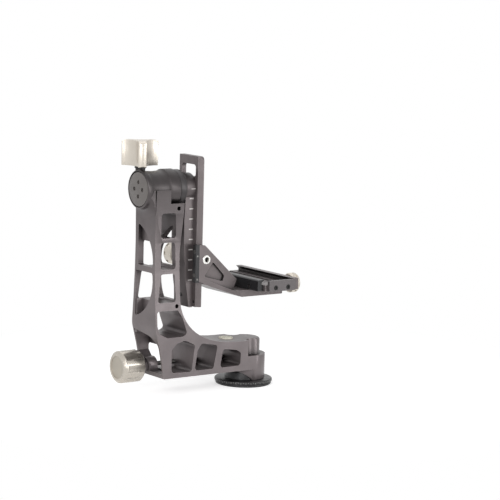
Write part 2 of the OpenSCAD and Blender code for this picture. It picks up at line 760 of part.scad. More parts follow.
module pan_lock_knob() {
    r = pan_knob_d / 2;
    x0 = -pan_knob_x - pan_knob_l;
    x1 = -pan_knob_x;
    color(silver_knob)
    difference() {
        turned_x([[x0, 0], [x0, r - 2.6], [x0 + 1.8, r - 0.2], [x0 + 2.6, r], [x1 - 2, r], [x1, r - 2], [x1, 0]],
            pan_lock_y, pan_lock_z);
        rod_x(r - 4.8, x0 - 1, x0 + 1.6, pan_lock_y, pan_lock_z);
        for (k = [0:pan_knob_flutes - 1]) translate([0, pan_lock_y, pan_lock_z])
            rotate([k * 360 / pan_knob_flutes, 0, 0]) rod_x(8, x0 + 4.2, x1 + 1, 0, r + 6.9);
        rod_x(lock_screw_r + seat_gap, x1 - 12.1, x1 + 1, pan_lock_y, pan_lock_z);
    }
}

module pan_knob_insert() {
    r = pan_knob_d / 2 - 4.8 - seat_gap;
    x0 = -pan_knob_x - pan_knob_l;
    color("#b5ac9b") rod_x(r, x0 + 0.7, x0 + 1.6, pan_lock_y, pan_lock_z);
}

// ---------- swing arm ----------

module tilt_shaft() {
    color(bright_steel)
    difference() {
        turned_x([[cap_x1 + 0.8, 0], [cap_x1 + 0.8, 4.4], [cap_x1 + 1.4, 5], [collar_x0 + 0.2, 5],
            [collar_x0 + 0.2, tilt_shaft_r], [flange_x0, tilt_shaft_r], [flange_x0, tilt_flange_r - 0.5],
            [flange_x0 + 0.5, tilt_flange_r], [flange_x1 - 0.8, tilt_flange_r],
            [flange_x1, tilt_flange_r - 0.8], [flange_x1, 0]], 0, tilt_z);
        rod_x(3 + seat_gap, flange_x0 - 8, flange_x1 + 1, 0, tilt_z);
        for (s = [-1, 1]) rod_x(1.5 + seat_gap, flange_x1 - 4, flange_x1 + 1, s * 9, tilt_z);
    }
}

module tilt_shaft_nut() {
    color(bright_steel)
    difference() {
        rod_x(8.6, cap_x1 + 0.5, collar_x0 - 0.7, 0, tilt_z);
        rod_x(5 + seat_gap, cap_x1, collar_x0, 0, tilt_z);
    }
}

module wave_washer() {
    color(bright_steel)
    difference() {
        rod_x(9, collar_x0 - 0.7, collar_x0 - 0.1, 0, tilt_z);
        rod_x(5 + 0.1, cap_x1, collar_x0 + 1, 0, tilt_z);
    }
}

module swing_arm() {
    half = swing_w / 2;
    bulge = flange_x1 + 1.2;
    front = rounded([[rail_back, rail_z0 - 0.7, 0.6], [rail_back - 4.2, rail_z0 - 0.7, 1],
        [rail_back - 8.5, rail_z0 + 26, 60], [rail_back - 11, rail_z0 + 56, 60],
        [rail_back - 11.4, rail_z0 + 85, 60], [rail_back - 10, tilt_z - 6, 20],
        [rail_back - 9, tilt_z + 2, 0], [rail_back, tilt_z + 2, 0]]);
    color(dark_anodised)
    difference() {
        union() {
            along_y(front, -half, half);
            turned_x([[flange_x1, 0], [flange_x1, swing_hub_r - 0.8], [flange_x1 + 0.8, swing_hub_r],
                [rail_back, swing_hub_r], [rail_back, 0]], 0, tilt_z);
        }
        // Edges eased along the bar
        for (s = [-1, 1]) translate([rail_back - 13.6, s * half, 0]) rotate([0, 0, 45])
            box(-1.6, 1.6, -1.6, 1.6, rail_z0 - 5, tilt_z - swing_hub_r);
        // Hub bolt and dowels
        rod_x(3.2, flange_x1 - 1, rail_back + 1, 0, tilt_z);
        rod_x(5.6, rail_back - 6.2, rail_back + 1, 0, tilt_z);
        for (s = [-1, 1]) rod_x(1.5 + seat_gap, flange_x1 - 1, flange_x1 + 5, s * 9, tilt_z);
        // Rail screw threads
        for (z = rail_screw_heights()) rod_x(2 + seat_gap, rail_back - 7, rail_back + 1, 0, z);
    }
}

function rail_screw_heights() = [for (k = [0:2]) rail_z0 + 11 + k * (tilt_z - swing_hub_r - rail_z0 - 20) / 2];

module hub_bolt() {
    color(black_anodised)
    translate([rail_back - 6.2, 0, tilt_z]) rotate([0, 90, 0])
        cap_screw(3, rail_back - 6.2 - flange_x0 + 6, 5.2, 5.6);
}

module hub_dowels() {
    color(bright_steel)
    for (s = [-1, 1]) rod_x(1.5, flange_x1 - 3.8, flange_x1 + 4.8, s * 9, tilt_z);
}

module rail_section() {
    w = rail_w / 2;
    n = rail_narrow;
    polygon([[rail_back, -n], [slope_x0, -n], [slope_x1, -w], [rail_face, -w],
        [rail_face, w], [slope_x1, w], [slope_x0, n], [rail_back, n]]);
}

module vertical_rail() {
    slot_z1 = rail_z1 - 8.3;
    slot_z0 = slot_z1 - 12;
    color(dark_anodised)
    difference() {
        intersection() {
            translate([0, 0, rail_z0]) linear_extrude(rail_z1 - rail_z0) rail_section();
            along_x(rounded([[-rail_w / 2, rail_z0, 1], [rail_w / 2, rail_z0, 1],
                [rail_w / 2, rail_z1, 4], [-rail_w / 2, rail_z1, 4]]), rail_back, rail_face);
        }
        along_x(rounded([[-slot_w / 2, slot_z0, 3], [slot_w / 2, slot_z0, 3],
            [slot_w / 2, slot_z1, 3], [-slot_w / 2, slot_z1, 3]]), rail_back - 1, rail_face + 1);
        // Shallow channel down the middle of the clamped face
        box(rail_face - 0.8, rail_face + 1, -5.5, 5.5, rail_z0 - 1, slot_z0 - 5);
        for (z = rail_screw_heights()) {
            rod_x(2.2, rail_back - 1, rail_face + 1, 0, z);
            rod_x(3.7, rail_back + 1.8, rail_face + 1, 0, z);
        }
        rod_x(1.5 + seat_gap, rail_back - 1, rail_face + 1, 13, rail_z0 + 5);
        rod_x(1.5 + seat_gap, rail_back - 1, rail_face + 1, -13, rail_z0 + 5);
    }
}

module rail_screws() {
    color(black_anodised)
    for (z = rail_screw_heights()) translate([rail_back + 1.8, 0, z]) rotate([0, 90, 0])
        cap_screw(2, 8, 3.5, 2.2);
}

// Pins that keep the cradle from sliding off the rail's lower end
module rail_stops() {
    color(black_anodised)
    for (s = [-1, 1]) {
        rod_x(1.5, rail_back, rail_face + 0.1, s * 13, rail_z0 + 5);
        rod_x(2.6, rail_face, rail_face + 2, s * 13, rail_z0 + 5);
    }
}

// ---------- cradle ----------

// Front view of the gusset, whose front cheek reaches round the rail's edge
function gusset_front() = rounded([[keeper_x1, rail_clamp_z0 + 0.6, 0.6], [keeper_x1, rail_clamp_z1 - 0.6, 0.8],
    [clamp_screw_x - 2.2, rail_clamp_z1 - 0.8, 2], [-26.4, platform_z + 10, 1.2], [-31, platform_z, 0],
    [-36, platform_z - 1, 0]]);

// Foot of the gusset: a sloping flange that widens into the platform
function foot_front() = rounded([[gusset_x0, rail_clamp_z0 - 2, 0.6], [gusset_x0, rail_clamp_z0 + 3.4, 0.6],
    [-34, platform_z, 6], [platform_x1, platform_z, 0.6], [platform_x1, platform_z - platform_t - 0.3, 2],
    [-26, platform_z - platform_t - 0.2, 3]]);

function foot_plan() = rounded([[gusset_x0, -clamp_half, 1], [-44, -clamp_half - 1.2, 20],
    [-27, -platform_w / 2, 2], [platform_x1, -platform_w / 2, 2], [platform_x1, platform_w / 2, 2],
    [-27, platform_w / 2, 2], [-44, 20.5, 20], [gusset_x0, 19, 1]]);

function gusset_pocket() = rounded(with_r([[-55.2, clamp_screw_z - 2.6], [-41.6, platform_z + 14.8],
    [-43.2, platform_z + 9], [-66, platform_z + 15]], 1.6), 3);

module cradle_bracket() {
    color(dark_anodised)
    difference() {
        union() {
            along_y(gusset_front(), -clamp_half, gusset_rear);
            intersection() {
                along_y(foot_front(), -platform_w, platform_w);
                along_z(foot_plan(), platform_z - 20, rail_clamp_z0 + 10);
            }
        }
        // Room for the rail, with a lip over its slope at the front
        along_z([[keeper_x1 - 5, -hook_y], [slope_x0 - 0.1, -hook_y], [slope_x1, -flank_y],
            [gusset_x0, -flank_y], [gusset_x0, clamp_half + 5], [keeper_x1 - 5, clamp_half + 5]],
            platform_z - 20, rail_clamp_z1 + 5);
        along_y(gusset_pocket(), -clamp_half - 1, -clamp_half + 2.4);
        // Bush, clamp screw and guide pins
        rod_y(bush_r + seat_gap, -clamp_half - 1, -clamp_half + bush_t, clamp_screw_x, clamp_screw_z);
        rod_y(clamp_screw_r + run_gap, -clamp_half, 0, clamp_screw_x, clamp_screw_z);
        rod_y(clamp_screw_r + 0.3, -6, gusset_rear + 1, clamp_screw_x, clamp_screw_z);
        for (z = guide_heights()) rod_y(2 + seat_gap, gusset_rear - 9, gusset_rear + 1, guide_x, z);
        // Screws that hold the keeper
        for (z = keeper_screw_heights()) rod_x(1.1 + seat_gap, keeper_x1 - 1, keeper_x1 + 2.2, -keeper_screw_y(), z);
        // Screws up into the lens clamp
        for (p = platform_screw_places()) {
            rod_z(2.2, platform_z - 20, platform_z + 1, p.x, p.y);
            rod_z(3.8, platform_z - 20, platform_z - platform_t + 3.2, p.x, p.y);
        }
    }
}

function guide_heights() = [clamp_screw_z - 13, clamp_screw_z + 9.5];
function keeper_screw_heights() = [rail_clamp_z0 + 7, rail_clamp_z1 - 7];
function keeper_screw_y() = (hook_y + clamp_half) / 2;
function platform_screw_places() = [[lens_x - 9, -20], [lens_x + 9, -20], [lens_x - 9, 20], [lens_x + 9, 20]];

// Bar behind the rail's edge that keeps the cradle on the rail
module rail_keeper() {
    color(black_anodised)
    difference() {
        along_z(rounded([[keeper_x0, -clamp_half, 0.5], [keeper_x1, -clamp_half, 0], [keeper_x1, -hook_y, 0],
            [keeper_x0, -hook_y, 0.5]], 2), rail_clamp_z0, rail_clamp_z1);
        for (z = keeper_screw_heights()) {
            rod_x(1.3, keeper_x0 - 1, keeper_x1 + 1, -keeper_screw_y(), z);
            rod_x(2.1, keeper_x0 - 1, keeper_x0 + 1.6, -keeper_screw_y(), z);
        }
        // Seats of the two small screws in the front face
        for (z = keeper_pin_heights())
            rod_y(0.9 + seat_gap, -clamp_half - 1, -clamp_half + 2.5, (keeper_x0 + keeper_x1) / 2, z);
    }
}

function keeper_pin_heights() = [clamp_screw_z + 4, rail_clamp_z0 + 3];

module keeper_screws() {
    color(bright_steel) {
        for (z = keeper_screw_heights()) translate([keeper_x0 + 1.6, -keeper_screw_y(), z]) rotate([0, -90, 0])
            cap_screw(1.1, keeper_t - 1.6 + 2, 1.9, 1.4);
        for (z = keeper_pin_heights()) rod_y(0.9, -clamp_half - 0.1, -clamp_half + 2.4, (keeper_x0 + keeper_x1) / 2, z);
    }
}

module rail_clamp_bush() {
    color(bright_steel)
    difference() {
        turned_y([[-clamp_half - 0.5, 0], [-clamp_half - 0.5, bush_r - 0.4], [-clamp_half - 0.1, bush_r],
            [-clamp_half + bush_t, bush_r], [-clamp_half + bush_t, 0]], clamp_screw_x, clamp_screw_z);
        rod_y(clamp_screw_r + run_gap, -clamp_half - 2, 0, clamp_screw_x, clamp_screw_z);
    }
}

module rail_guide_pins() {
    color(bright_steel)
    for (z = guide_heights()) rod_y(2, gusset_rear - 8.8, clamp_half - 1.2, guide_x, z);
}

// Moving jaw at the rear; its lip lies over the rail's other slope
module rail_clamp_jaw() {
    leg_y = gusset_rear + body_gap;
    plan = [[jaw_x0, clamp_half], [jaw_x1, clamp_half], [jaw_x1, leg_y], [rail_face + body_gap, leg_y],
        [rail_face + body_gap, flank_y], [slope_x1, flank_y], [slope_x0 - 0.1, hook_y], [jaw_x0, hook_y]];
    lip_plan = [[jaw_x0, clamp_half], [gusset_x0 - 0.4, clamp_half], [gusset_x0 - 0.4, flank_y],
        [slope_x1, flank_y], [slope_x0 - 0.1, hook_y], [jaw_x0, hook_y]];
    color(black_anodised)
    difference() {
        union() {
            along_z(plan, rail_clamp_z0 + 6, rail_clamp_z1);
            along_z(lip_plan, rail_clamp_z0, rail_clamp_z0 + 7);
        }
        rod_y(clamp_screw_r + run_gap, 0, 40, clamp_screw_x, clamp_screw_z);
        for (z = guide_heights()) rod_y(2 + run_gap, 0, clamp_half - 1, guide_x, z);
    }
}

module rail_clamp_screw() {
    color(bright_steel)
    rod_y(clamp_screw_r, -clamp_half + 4, clamp_half + rail_knob_l - 3, clamp_screw_x, clamp_screw_z);
}

module fluted_knob(r, l, flutes) {
    difference() {
        turned_z([[0, 0], [0, r - 1], [1, r], [l - 1.8, r], [l - 0.6, r - 0.8], [l, r - 2], [l, 0]]);
        for (k = [0:flutes - 1]) rotate([0, 0, k * 360 / flutes]) rod_z(r * 0.4, 2.2, l - 3, r * 1.33);
    }
}

module rail_clamp_knob() {
    y0 = clamp_half;
    color(silver_knob)
    difference() {
        union() {
            rod_y(6.5, y0, y0 + 2, clamp_screw_x, clamp_screw_z);
            translate([clamp_screw_x, y0 + 2, clamp_screw_z]) rotate([-90, 0, 0])
                fluted_knob(rail_knob_d / 2, rail_knob_l, 8);
        }
        rod_y(clamp_screw_r + seat_gap, y0 - 1, y0 + rail_knob_l - 2.9, clamp_screw_x, clamp_screw_z);
    }
}

// ---------- lens clamp ----------

// Fixed jaw and base of the lens clamp, seen along Y
function clamp_section() = [[clamp_left + 2, platform_z], [clamp_right, platform_z], [clamp_right, clamp_top - 1],
    [clamp_right - 1, clamp_top], [lens_x + groove_half - dovetail, clamp_top],
    [lens_x + groove_half, clamp_top - dovetail], [lens_x + groove_half, groove_z], [clamp_left + 2, groove_z]];

module lens_clamp_body() {
    color(dark_anodised)
    difference() {
        along_y(clamp_section(), lens_front, lens_back);
        // Relief along the groove's floor
        box(lens_x - 8, lens_x + 8, lens_front - 1, lens_back + 1, groove_z - 0.8, groove_z + 1);
        rod_x(lens_screw_r + 0.2, clamp_left - 5, clamp_right + 5, lens_knob_y, lens_screw_z);
        for (y = lens_guide_places()) rod_x(lens_guide_r + seat_gap, clamp_left - 5, clamp_left + 20, y, lens_screw_z);
        for (p = platform_screw_places()) rod_z(2 + seat_gap, platform_z - 1, platform_z + 5, p.x, p.y);
        for (x = end_screw_places()) rod_y(1.3 + seat_gap, lens_front - 1, lens_front + 7, x, lens_screw_z);
        rod_z(1.8 + seat_gap, groove_z - 4, groove_z + 1, lens_x, lens_back - 6);
    }
}

function lens_guide_places() = [-12, 32];
function end_screw_places() = [lens_x - 6, lens_x + 9];

module platform_screws() {
    color(black_anodised)
    for (p = platform_screw_places()) translate([p.x, p.y, platform_z - platform_t + 3.2]) rotate([180, 0, 0])
        cap_screw(2, platform_t - 3.2 + 4.6, 3.5, 3);
}

module lens_end_plate() {
    color("#5a5557")
    difference() {
        along_y(rounded([[lens_x - 14, platform_z, 0.8], [lens_x + 18.3, platform_z, 0.8],
            [lens_x + 18.3, clamp_top - 0.6, 0.8], [lens_x - 14, clamp_top - 0.6, 0.8]], 2), end_plate_y, lens_front);
        for (x = end_screw_places()) {
            rod_y(1.5, end_plate_y - 1, lens_front + 1, x, lens_screw_z);
            rod_y(2.5, end_plate_y - 1, end_plate_y + 1.5, x, lens_screw_z);
        }
    }
}

module end_plate_screws() {
    color(black_anodised)
    for (x = end_screw_places()) translate([x, end_plate_y + 1.5, lens_screw_z]) rotate([90, 0, 0])
        cap_screw(1.3, 8, 2.3, 1.3);
}

module plate_stop_pin() {
    color(bright_steel) rod_z(1.8, groove_z - 4, groove_z + 2.2, lens_x, lens_back - 6);
}

module lens_guide_pins() {
    color(bright_steel)
    for (y = lens_guide_places()) rod_x(lens_guide_r, clamp_left - jaw_wall + 1.5, clamp_left + 19, y, lens_screw_z);
}

// Moving jaw on the left of the groove
function jaw_section() = [[clamp_left - jaw_wall, platform_z + 0.4], [clamp_left + 2 - body_gap, platform_z + 0.4],
    [clamp_left + 2 - body_gap, groove_z - 0.3], [clamp_left, groove_z], [clamp_left, clamp_top - dovetail],
    [clamp_left + dovetail, clamp_top], [clamp_left - jaw_wall + 1, clamp_top], [clamp_left - jaw_wall, clamp_top - 1]];

module lens_clamp_jaw() {
    color(black_anodised)
    difference() {
        along_y(jaw_section(), lens_front + 3, lens_back - 1);
        rod_x(lens_screw_r + run_gap, clamp_left - 20, clamp_left + 5, lens_knob_y, lens_screw_z);
        for (y = lens_guide_places()) rod_x(lens_guide_r + run_gap, clamp_left - jaw_wall + 1.4, clamp_left + 5, y, lens_screw_z);
    }
}

module lens_clamp_screw() {
    color(bright_steel)
    rod_x(lens_screw_r, clamp_left - jaw_wall, clamp_right + 6, lens_knob_y, lens_screw_z);
}

module lens_clamp_knob() {
    color(silver_knob)
    difference() {
        union() {
            rod_x(4.5, clamp_right, clamp_right + 1.2, lens_knob_y, lens_screw_z);
            translate([clamp_right + 1, lens_knob_y, lens_screw_z]) rotate([0, 90, 0])
                fluted_knob(lens_knob_d / 2, lens_knob_l, 10);
        }
        rod_x(lens_screw_r + seat_gap, clamp_right - 1, clamp_right + 6.1, lens_knob_y, lens_screw_z);
    }
}

base_flange();
pan_spindle();
foot_screws();
pan_spacer();
main_arm();
pan_bearing();
pan_bush();
pan_retaining_ring();
pan_lock_nut();
ledge_screws();
level_body();
level_vial();
tilt_cap();
tilt_bearing_outer();
tilt_bearing_inner();
tilt_lock_nut();
tilt_seal();
tilt_lock_washer();
tilt_lock_screw();
tilt_lock_knob();
pan_lock_screw();
pan_lock_knob();
pan_knob_insert();
tilt_shaft();
tilt_shaft_nut();
wave_washer();
swing_arm();
hub_bolt();
hub_dowels();
vertical_rail();
rail_screws();
rail_stops();
cradle_bracket();
rail_keeper();
rail_clamp_bush();
keeper_screws();
rail_guide_pins();
rail_clamp_jaw();
rail_clamp_screw();
rail_clamp_knob();
lens_clamp_body();
platform_screws();
lens_end_plate();
end_plate_screws();
plate_stop_pin();
lens_guide_pins();
lens_clamp_jaw();
lens_clamp_screw();
lens_clamp_knob();
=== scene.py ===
"""Looks of a gimbal tripod head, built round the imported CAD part. Metres, +Z up."""

import logging
import math
from dataclasses import dataclass, replace
from enum import Enum

import bmesh
import bpy
from mathutils import Matrix, Vector


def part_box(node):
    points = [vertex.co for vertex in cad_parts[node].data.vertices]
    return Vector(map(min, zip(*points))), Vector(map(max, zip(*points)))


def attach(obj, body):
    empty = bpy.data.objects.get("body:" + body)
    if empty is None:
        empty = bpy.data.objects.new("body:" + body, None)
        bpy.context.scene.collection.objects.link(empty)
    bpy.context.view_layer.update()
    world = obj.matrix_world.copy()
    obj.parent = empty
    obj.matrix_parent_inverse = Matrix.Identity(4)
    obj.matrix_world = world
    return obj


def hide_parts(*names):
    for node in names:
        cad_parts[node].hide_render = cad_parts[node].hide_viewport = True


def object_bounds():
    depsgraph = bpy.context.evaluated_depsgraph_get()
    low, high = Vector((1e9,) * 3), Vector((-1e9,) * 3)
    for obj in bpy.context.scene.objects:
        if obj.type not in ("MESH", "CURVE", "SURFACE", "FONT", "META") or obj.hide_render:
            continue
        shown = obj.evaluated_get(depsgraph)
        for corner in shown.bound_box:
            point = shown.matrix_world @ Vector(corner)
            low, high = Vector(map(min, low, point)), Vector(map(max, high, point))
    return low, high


LOG = logging.getLogger("gimbal_head")
MM = 0.001
Colour = tuple[float, float, float]
Point = tuple[float, float, float]
Socket = bpy.types.NodeSocket
Form = bmesh.types.BMesh

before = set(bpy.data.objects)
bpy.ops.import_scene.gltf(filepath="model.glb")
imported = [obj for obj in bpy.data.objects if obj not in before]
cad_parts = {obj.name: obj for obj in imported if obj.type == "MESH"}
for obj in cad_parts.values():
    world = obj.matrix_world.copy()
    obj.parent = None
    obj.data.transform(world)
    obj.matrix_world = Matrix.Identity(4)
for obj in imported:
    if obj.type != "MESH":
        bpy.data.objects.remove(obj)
CAD_LOW, CAD_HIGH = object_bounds()


# ---------------------------------------------------------------- finishes


class Slot(Enum):
    """Material slots of the record."""

    DARK_ANODISED = "dark_anodised"
    END_PLATE_GREY = "end_plate_grey"
    BLACK_ANODISED = "black_anodised"
    BLACK_SCREWS = "black_screws"
    BRIGHT_STEEL = "bright_steel"
    BRONZE = "bronze"
    CAP_GREY = "cap_grey"
    SILVER_KNOB = "silver_knob"
    KNOB_FACE = "knob_face"
    SEAL_RUBBER = "seal_rubber"
    LEVEL_YELLOW = "level_yellow"


class Turning(Enum):
    """Axis about which a lathe has left its rings on a surface."""

    NONE = "NONE"
    X = "X"


# Rays that look for a solid's edges and for its hollows
EDGE_SAMPLES = 6
HOLLOW_SAMPLES = 8
# A wave texture of scale 1 repeats every 2 pi / 20 m
WAVE_UNIT = 20.0


class Shader:
    """Small helper that adds nodes to one material and links them."""

    def __init__(self, name: str) -> None:
        """Start a material with a plain surface shader.

        Args:
            name: Name of the material.
        """
        self.material = bpy.data.materials.new(name)
        self.material.use_nodes = True
        self.tree = self.material.node_tree
        self.surface = self.tree.nodes["Principled BSDF"]
        self.place = self.add("ShaderNodeTexCoord").outputs["Object"]

    def add(self, kind: str, **settings: object) -> bpy.types.Node:
        """Add a node.

        Args:
            kind: Blender's name of the node type.
            settings: Properties of the node.

        Returns:
            The new node.
        """
        node = self.tree.nodes.new(kind)
        for key, value in settings.items():
            setattr(node, key, value)
        return node

    def feed(self, node: bpy.types.Node, name: str | int, value: object) -> None:
        """Give an input of a node a value or link an output to it.

        Args:
            node: Node that has the input.
            name: Name or number of the input.
            value: A number, a colour or another node's output.
        """
        self.put(node.inputs[name], value)

    def put(self, socket: Socket, value: object) -> None:
        """Give a socket a value or link an output to it.

        Args:
            socket: The socket.
            value: A number, a colour or another node's output.
        """
        if isinstance(value, Socket):
            self.tree.links.new(value, socket)
        else:
            socket.default_value = value

    def sum(self, operation: str, a: object, b: object = 0.0, c: object = 0.0) -> Socket:
        """Add a node that works on one, two or three numbers.

        Args:
            operation: Blender's name of the operation.
            a: First number or output.
            b: Second number or output.
            c: Third number or output.

        Returns:
            The output with the result.
        """
        node = self.add("ShaderNodeMath", operation=operation)
        for index, value in enumerate((a, b, c)):
            self.feed(node, index, value)
        return node.outputs[0]

    def axes(self) -> tuple[Socket, Socket, Socket]:
        """Split the place on the object into its three axes.

        Returns:
            Outputs along X, Y and Z in metres.
        """
        node = self.add("ShaderNodeSeparateXYZ")
        self.feed(node, 0, self.place)
        return node.outputs["X"], node.outputs["Y"], node.outputs["Z"]

    def band(self, value: object, middle: float, width: float) -> Socket:
        """Find where a number lies in a band.

        Args:
            value: The number.
            middle: Middle of the band.
            width: Width of the band.

        Returns:
            1 in the band, 0 outside.
        """
        away = self.sum("ABSOLUTE", self.sum("SUBTRACT", value, middle))
        return self.sum("LESS_THAN", away, width / 2)

    def noise(self, size: float, detail: float = 2.0) -> Socket:
        """Add a grain pattern.

        Args:
            size: Size of its cells in metres.
            detail: Number of finer layers.

        Returns:
            Its value, from 0 to 1.
        """
        node = self.add("ShaderNodeTexNoise")
        self.feed(node, "Vector", self.place)
        self.feed(node, "Scale", 1.0 / size)
        self.feed(node, "Detail", detail)
        return node.outputs["Fac"]

    def spread(
        self, value: object, low: float, high: float, start: float = 0.3, stop: float = 0.7
    ) -> Socket:
        """Stretch a pattern to a range of numbers.

        Args:
            value: The pattern.
            low: Result where the pattern is at start.
            high: Result where the pattern is at stop.
            start: Lower end of the pattern's range.
            stop: Upper end of the pattern's range.

        Returns:
            The output with the result.
        """
        node = self.add("ShaderNodeMapRange")
        ends = {"Value": value, "From Min": start, "From Max": stop, "To Min": low, "To Max": high}
        for name, number in ends.items():
            self.feed(node, name, number)
        return node.outputs["Result"]

    def mix(self, share: object, a: object, b: object, blend: str = "MIX") -> Socket:
        """Mix two colours.

        Args:
            share: Share of the second colour.
            a: First colour or output.
            b: Second colour or output.
            blend: Blender's name of the way they are mixed.

        Returns:
            The output with the mixed colour.
        """
        node = self.add("ShaderNodeMix", data_type="RGBA", blend_type=blend)
        sockets = {s.identifier: s for s in node.inputs}
        for name, value in (("Factor_Float", share), ("A_Color", a), ("B_Color", b)):
            self.put(sockets[name], value)
        return next(s for s in node.outputs if s.identifier == "Result_Color")

    def bump(self, height: object, depth: float, under: object = None) -> Socket:
        """Raise a pattern from the surface.

        Args:
            height: The pattern.
            depth: Its depth in metres.
            under: Normal of another bump that this one lies on.

        Returns:
            The output with the normal.
        """
        node = self.add("ShaderNodeBump")
        self.feed(node, "Strength", 1.0)
        self.feed(node, "Distance", depth)
        self.feed(node, "Height", height)
        if under is not None:
            self.feed(node, "Normal", under)
        return node.outputs["Normal"]

    def edges(self, radius: float) -> Socket:
        """Find the edges of a solid.

        Args:
            radius: Reach from the edge in metres.

        Returns:
            A number that grows towards an edge.
        """
        bevel = self.add("ShaderNodeBevel", samples=EDGE_SAMPLES)
        self.feed(bevel, "Radius", radius)
        dot = self.add("ShaderNodeVectorMath", operation="DOT_PRODUCT")
        self.feed(dot, 0, bevel.outputs["Normal"])
        self.feed(dot, 1, self.add("ShaderNodeNewGeometry").outputs["Normal"])
        return self.sum("SUBTRACT", 1.0, dot.outputs["Value"])

    def hollows(self, reach: float) -> Socket:
        """Find corners and hollows, where the colour is darkened as painted shade.

        Args:
            reach: How far the walls of a hollow may be, in metres.

        Returns:
            1 on an open face, less in a hollow.
        """
        node = self.add("ShaderNodeAmbientOcclusion", samples=HOLLOW_SAMPLES, only_local=True)
        self.feed(node, "Distance", reach)
        return node.outputs["AO"]


def rgba(colour: Colour, times: float = 1.0) -> tuple[float, float, float, float]:
    """Colour with an alpha of 1.

    Args:
        colour: Red, green and blue.
        times: Factor on all three.

    Returns:
        Four numbers.
    """
    return (colour[0] * times, colour[1] * times, colour[2] * times, 1.0)


def wave_scale(pitch: float) -> float:
    """Scale at which a wave texture repeats once in a pitch, in metres."""
    return 2 * math.pi / (WAVE_UNIT * pitch)


# Cells of the patterns that every metal surface has
BROAD_CELL = 18 * MM
SMUDGE_CELL = 7 * MM
WEAR_CELL = 1.4 * MM
# Most that the bright grains show, and their colour against the metal's
GRAIN_SHARE = 0.35
GRAIN_LIGHT = 1.12
# Where an edge starts to be worn and to carry its painted highlight and where it fully does, and how
# patchy the wear is
EDGE_START = 0.02
EDGE_FULL = 0.25
WEAR_LEAST = 0.35
# Openness of a deep hollow and of a face that counts as open, for the painted shade in hollows
HOLLOW_DEEP = 0.35
HOLLOW_OPEN = 0.95
# How late the painted shade that darkens a colour upwards starts to do so
SHADE_POWER = 2.0
# Smudges make the metal a little glossier here and duller there
GLOSSIER = 0.04
DULLER = 0.05
# How far the rings of a lathe stray from a true circle
RING_WOBBLE = 0.4


